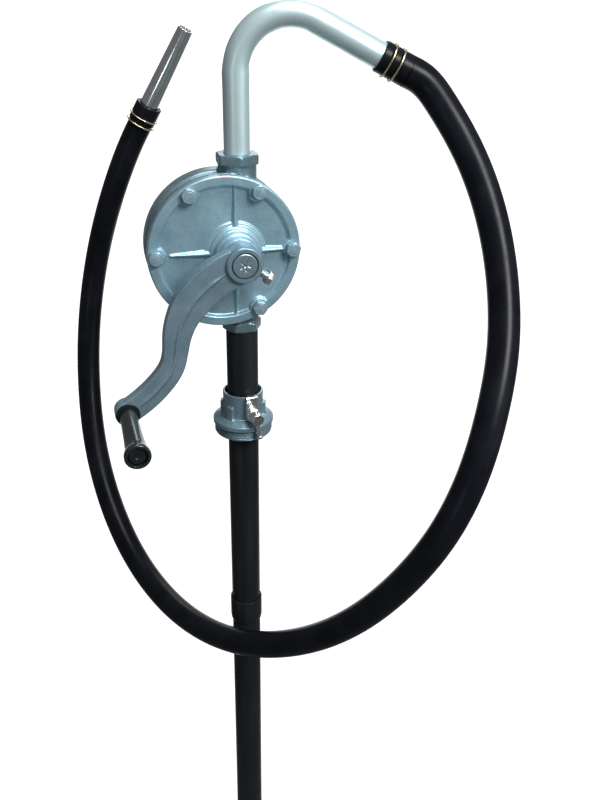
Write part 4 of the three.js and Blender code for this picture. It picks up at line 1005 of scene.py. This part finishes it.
def thread_ring():
    """The thread as a ring of its own: the outside radius is the crest's less a triangle wave of
    the height over the pitch and the turn, which dies away at both ends."""
    height = np.linspace(-11, 0.3, 150)[:, None]
    turn = np.linspace(0, 2 * np.pi, 144, endpoint=False)[None, :]
    wave = np.abs(((height / 2.309 - turn / (2 * np.pi)) % 1) * 2 - 1)
    fade = np.clip((height + 11) / 1.4, 0, 1) * np.clip((0.3 - height) / 0.8, 0, 1)
    outside = 29.9 - 1.7 * wave * fade - 1.0 * (1 - np.clip((height + 11) / 1.4, 0, 1))
    rings = np.stack([outside * np.cos(turn), outside * np.sin(turn), height + 0 * turn], -1)
    inside = [16.35 * np.cos(turn) + 0 * height, 16.35 * np.sin(turn) + 0 * height, height + 0 * turn]
    inside = np.stack(inside, -1)
    return skin(np.concatenate([rings, inside[[-1, 0]]]), "joined")


adapter_bore = [
    [0, -2],
    [16.35, -2],
    [16.35, 2],
    [18.7, 2],
    [18.7, 7.6],
    [16.35, 7.6],
    [16.35, 29],
    [18.8, 29],
    [18.8, 34.3],
    [19.4, 36],
    [0, 36],
]
screw_hole = placed(turned([[0, 8], [4.2, 8], [4.2, 30], [0, 30]], 48), clamp_axis, clamp_out, (0, 0, 1))
adapter_mesh = fused("drum_adapter", [collar, *lugs], 0.4, 1, [[turned(adapter_bore, 128)], [screw_hole]])
adapter = fitted("drum_adapter", adapter_mesh, cast_alloy, "bung_mount", ["bung_adapter"])
thread_mesh = mesh_of("drum_adapter_thread", [thread_ring()])
thread = fitted("drum_adapter_thread", thread_mesh, cast_alloy, "bung_mount", ["bung_adapter"], 25)

# ---- Clamp ----
# A bright strap hooked over the adapter's collar, the screw through it that presses a brass pad
# on the pipe, and the sliding tommy bar that turns the screw.


def beside_pipe(radial, across, height):
    """A place from how far out along the screw, how far to its side and how high above it."""
    place = clamp_axis + np.multiply.outer(radial, clamp_out) + np.multiply.outer(across, clamp_side)
    return place + np.multiply.outer(height, [0, 0, 1.0])


turn_over = np.linspace(0, math.pi / 2, 8)
first_bend, hook_bend = 1.5, 1.05
strap_radial = np.concatenate(
    [
        [24.25] * 10,
        22.75 + first_bend * np.cos(turn_over),
        [21.3, 19.9],
        18.9 - hook_bend * np.sin(turn_over),
        [17.83] * 3,
    ]
)
strap_height = np.concatenate(
    [
        np.linspace(-7.2, 16.5, 10),
        17.05 + first_bend * np.sin(turn_over),
        [18.55, 18.55],
        17.5 + hook_bend * np.cos(turn_over),
        [16.2, 15.2, 13.9],
    ]
)
strap_path = beside_pipe(strap_radial, np.zeros(len(strap_radial)), strap_height)
strap_run = np.gradient(strap_path, axis=0)
strap_run /= np.linalg.norm(strap_run, axis=1)[:, None]
strap_wide = np.broadcast_to(clamp_side, strap_path.shape)
along_strap = np.linspace(0, 1, len(strap_path))
strap_half = np.interp(along_strap, [0, 0.02, 0.06, 0.4, 0.55, 0.75, 1], [4.6, 5.9, 6.5, 6.5, 5.8, 3.4, 3.0])
strap_thin = np.interp(along_strap, [0, 0.62, 0.8, 1], [0.75, 0.75, 0.38, 0.38])
strap_thick = np.cross(strap_run, clamp_side)
strap_skin = strip(strap_path, strap_wide, strap_thick, strap_half, strap_thin, 0.3, 32)
strap_mesh = mesh_of("bent_strap", [strap_skin])
strap = fitted("bent_strap", strap_mesh, bright_nickel, "bung_mount", ["clamp_strap"], 30)

bar_run = np.array([-0.1567, -0.0285, 0.9872])
bar_middle = clamp_axis + 35.3 * clamp_out
shank_profile = [[0, 18.2], [3.4, 18.2], [3.9, 18.8], [3.9, 25.3], [7.2, 25.3], [7.2, 28.3], [0, 28.3]]
shank_rounding = [0, 0.3, 0.3, 0.2, 0.5, 0.6, 0]
shank = placed(turned(eased(shank_profile, shank_rounding), 96), clamp_axis, clamp_out, bar_run)
head = placed(spun(hexagon(12.4, 28.0, 41.3, 1.3), math.pi / 6), clamp_axis, clamp_out, bar_run)
cross_hole = turned([[0, -12], [2.7, -12], [2.7, 12], [0, 12]], 48)
cross_hole = placed(cross_hole, bar_middle, bar_run, clamp_out)
screw_mesh = fused("cross_hole_screw", [shank, head], 0.24, 3, [[cross_hole]])
screw = fitted("cross_hole_screw", screw_mesh, bright_nickel, "clamp_screw", ["clamp_screw"], 28)
bar_profile = [
    [0, -22.7],
    [1.5, -22.9],
    [2.2, -23.9],
    [3.2, -23.9],
    [3.2, -21.3],
    [2.4, -21.3],
    [2.4, 6.5],
    [3.2, 6.5],
    [3.2, 9.1],
    [0, 9.1],
]
bar_rounding = [0, 0.4, 0.3, 0.7, 0.6, 0.3, 0.3, 0.6, 0.8, 0]
bar_shape = placed(turned(eased(bar_profile, bar_rounding, 6), 64), bar_middle, bar_run, clamp_out)
bar_mesh = mesh_of("sliding_bar", [bar_shape])
bar = fitted("sliding_bar", bar_mesh, bright_nickel, "clamp_bar", ["clamp_bar"], 30)

# ---- Inner pieces ----
# The working pieces behind the cover keep their plain machined shapes: bronze bushes, rubber
# seals, a fibre gasket, a cast rotor on a steel key, carbon vanes and their steel springs.


def bronze_look(wire):
    tone = wire.noise(380, 4)
    return {
        "Base Color": tone.clamped(0.3, 0.7).mixed((0.36, 0.20, 0.08), (0.58, 0.36, 0.17)),
        "Metallic": 0.85 + 0.1 * tone,
        "Roughness": 0.28 + 0.2 * tone,
        "Normal": tone.bump(0.15, 0.0002),
    }


def carbon_look(wire):
    tone = wire.noise(600, 4)
    return {
        "Base Color": tone.clamped(0.3, 0.7).mixed((0.015, 0.015, 0.016), (0.04, 0.04, 0.042)),
        "Roughness": 0.45 + 0.25 * tone,
        "Normal": tone.bump(0.2, 0.0002),
    }


def fibre_look(wire):
    tone = wire.noise(900, 5, (1, 1, 0.4))
    return {
        "Base Color": tone.clamped(0.3, 0.7).mixed((0.09, 0.06, 0.035), (0.20, 0.15, 0.09)),
        "Roughness": 0.7 + 0.25 * tone,
        "Normal": tone.bump(0.3, 0.0003),
    }


bronze = finish("bush_bronze", {"Specular IOR Level": 0.5}, bronze_look)
carbon = finish("vane_carbon", {"Specular IOR Level": 0.4}, carbon_look)
fibre = finish("gasket_fibre", {"Specular IOR Level": 0.3}, fibre_look)
kept = {
    "cover_gasket": fibre,
    "rear_bush": bronze,
    "front_bush": bronze,
    "shaft_seal": hose_rubber,
    "pipe_seal_ring": hose_rubber,
    "rotor": cast_alloy,
    "rotor_key": machined_steel,
    "clamp_pad": wire_brass,
}
kept |= {f"vane_{i}": carbon for i in range(1, 5)} | {f"vane_spring_{i}": machined_steel for i in range(1, 5)}
for name, look in kept.items():
    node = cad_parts[name]
    node.data.materials.clear()
    node.data.materials.append(look)

# ---- Backdrop and light ----
# A white sheet far behind the pump, square to the view, with soft lights above, at both sides and
# behind in a dim room, so that the castings show their shape.
backdrop_mesh = bpy.data.meshes.new("backdrop")
backdrop_middle = camera.matrix_world.translation + 5.2 * ahead
sheet_half_wide, sheet_half_tall = 2.1, 2.7
backdrop_corners = [
    backdrop_middle + wide * sheet_half_wide * across + tall * sheet_half_tall * upright
    for wide, tall in ((-1, -1), (1, -1), (1, 1), (-1, 1))
]
backdrop_mesh.from_pydata([tuple(corner) for corner in backdrop_corners], [], [(0, 1, 2, 3)])
sheet_constants = {
    "Roughness": 1.0,
    "Specular IOR Level": 0.0,
    "Base Color": (0.6, 0.6, 0.6, 1),
    "Emission Strength": 1.05,
}
white_sheet = finish(
    "white_sheet",
    sheet_constants,
    lambda wire: {"Emission Color": wire.noise(0.4, 2).mixed((0.98, 0.98, 0.98), (1.0, 1.0, 1.0))},
)
backdrop_mesh.materials.append(white_sheet)
backdrop = bpy.data.objects.new("backdrop", backdrop_mesh)
bpy.context.scene.collection.objects.link(backdrop)

bpy.context.scene.view_settings.view_transform = "Standard"
world = bpy.data.worlds.new("studio")
bpy.context.scene.world = world
world.use_nodes = True
world.node_tree.nodes["Background"].inputs["Color"].default_value = (0.93, 0.97, 1.0, 1)
world.node_tree.nodes["Background"].inputs["Strength"].default_value = 0.15


def softbox(name, place, target, size, power):
    """A square soft light at a place, facing a target."""
    light = bpy.data.lights.new(name, "AREA")
    light.size = size
    light.energy = power
    lamp = bpy.data.objects.new(name, light)
    lamp.location = place
    lamp.rotation_euler = (Vector(target) - Vector(place)).to_track_quat("-Z", "Y").to_euler()
    bpy.context.scene.collection.objects.link(lamp)


softbox("key", (0.9, -1.6, 1.6), (0, 0, 0.1), 0.8, 58)
softbox("top", (0.1, -0.6, 2.3), (0, 0, 0.1), 0.8, 32)
softbox("fill", (1.9, -1.7, 0.3), (0, 0, 0), 1.4, 4)
softbox("left", (-2.0, -2.4, 0.1), (0, 0, 0.1), 0.4, 3)
softbox("back", (0.7, 2.0, 1.4), (0, 0, 0.1), 1.2, 16)
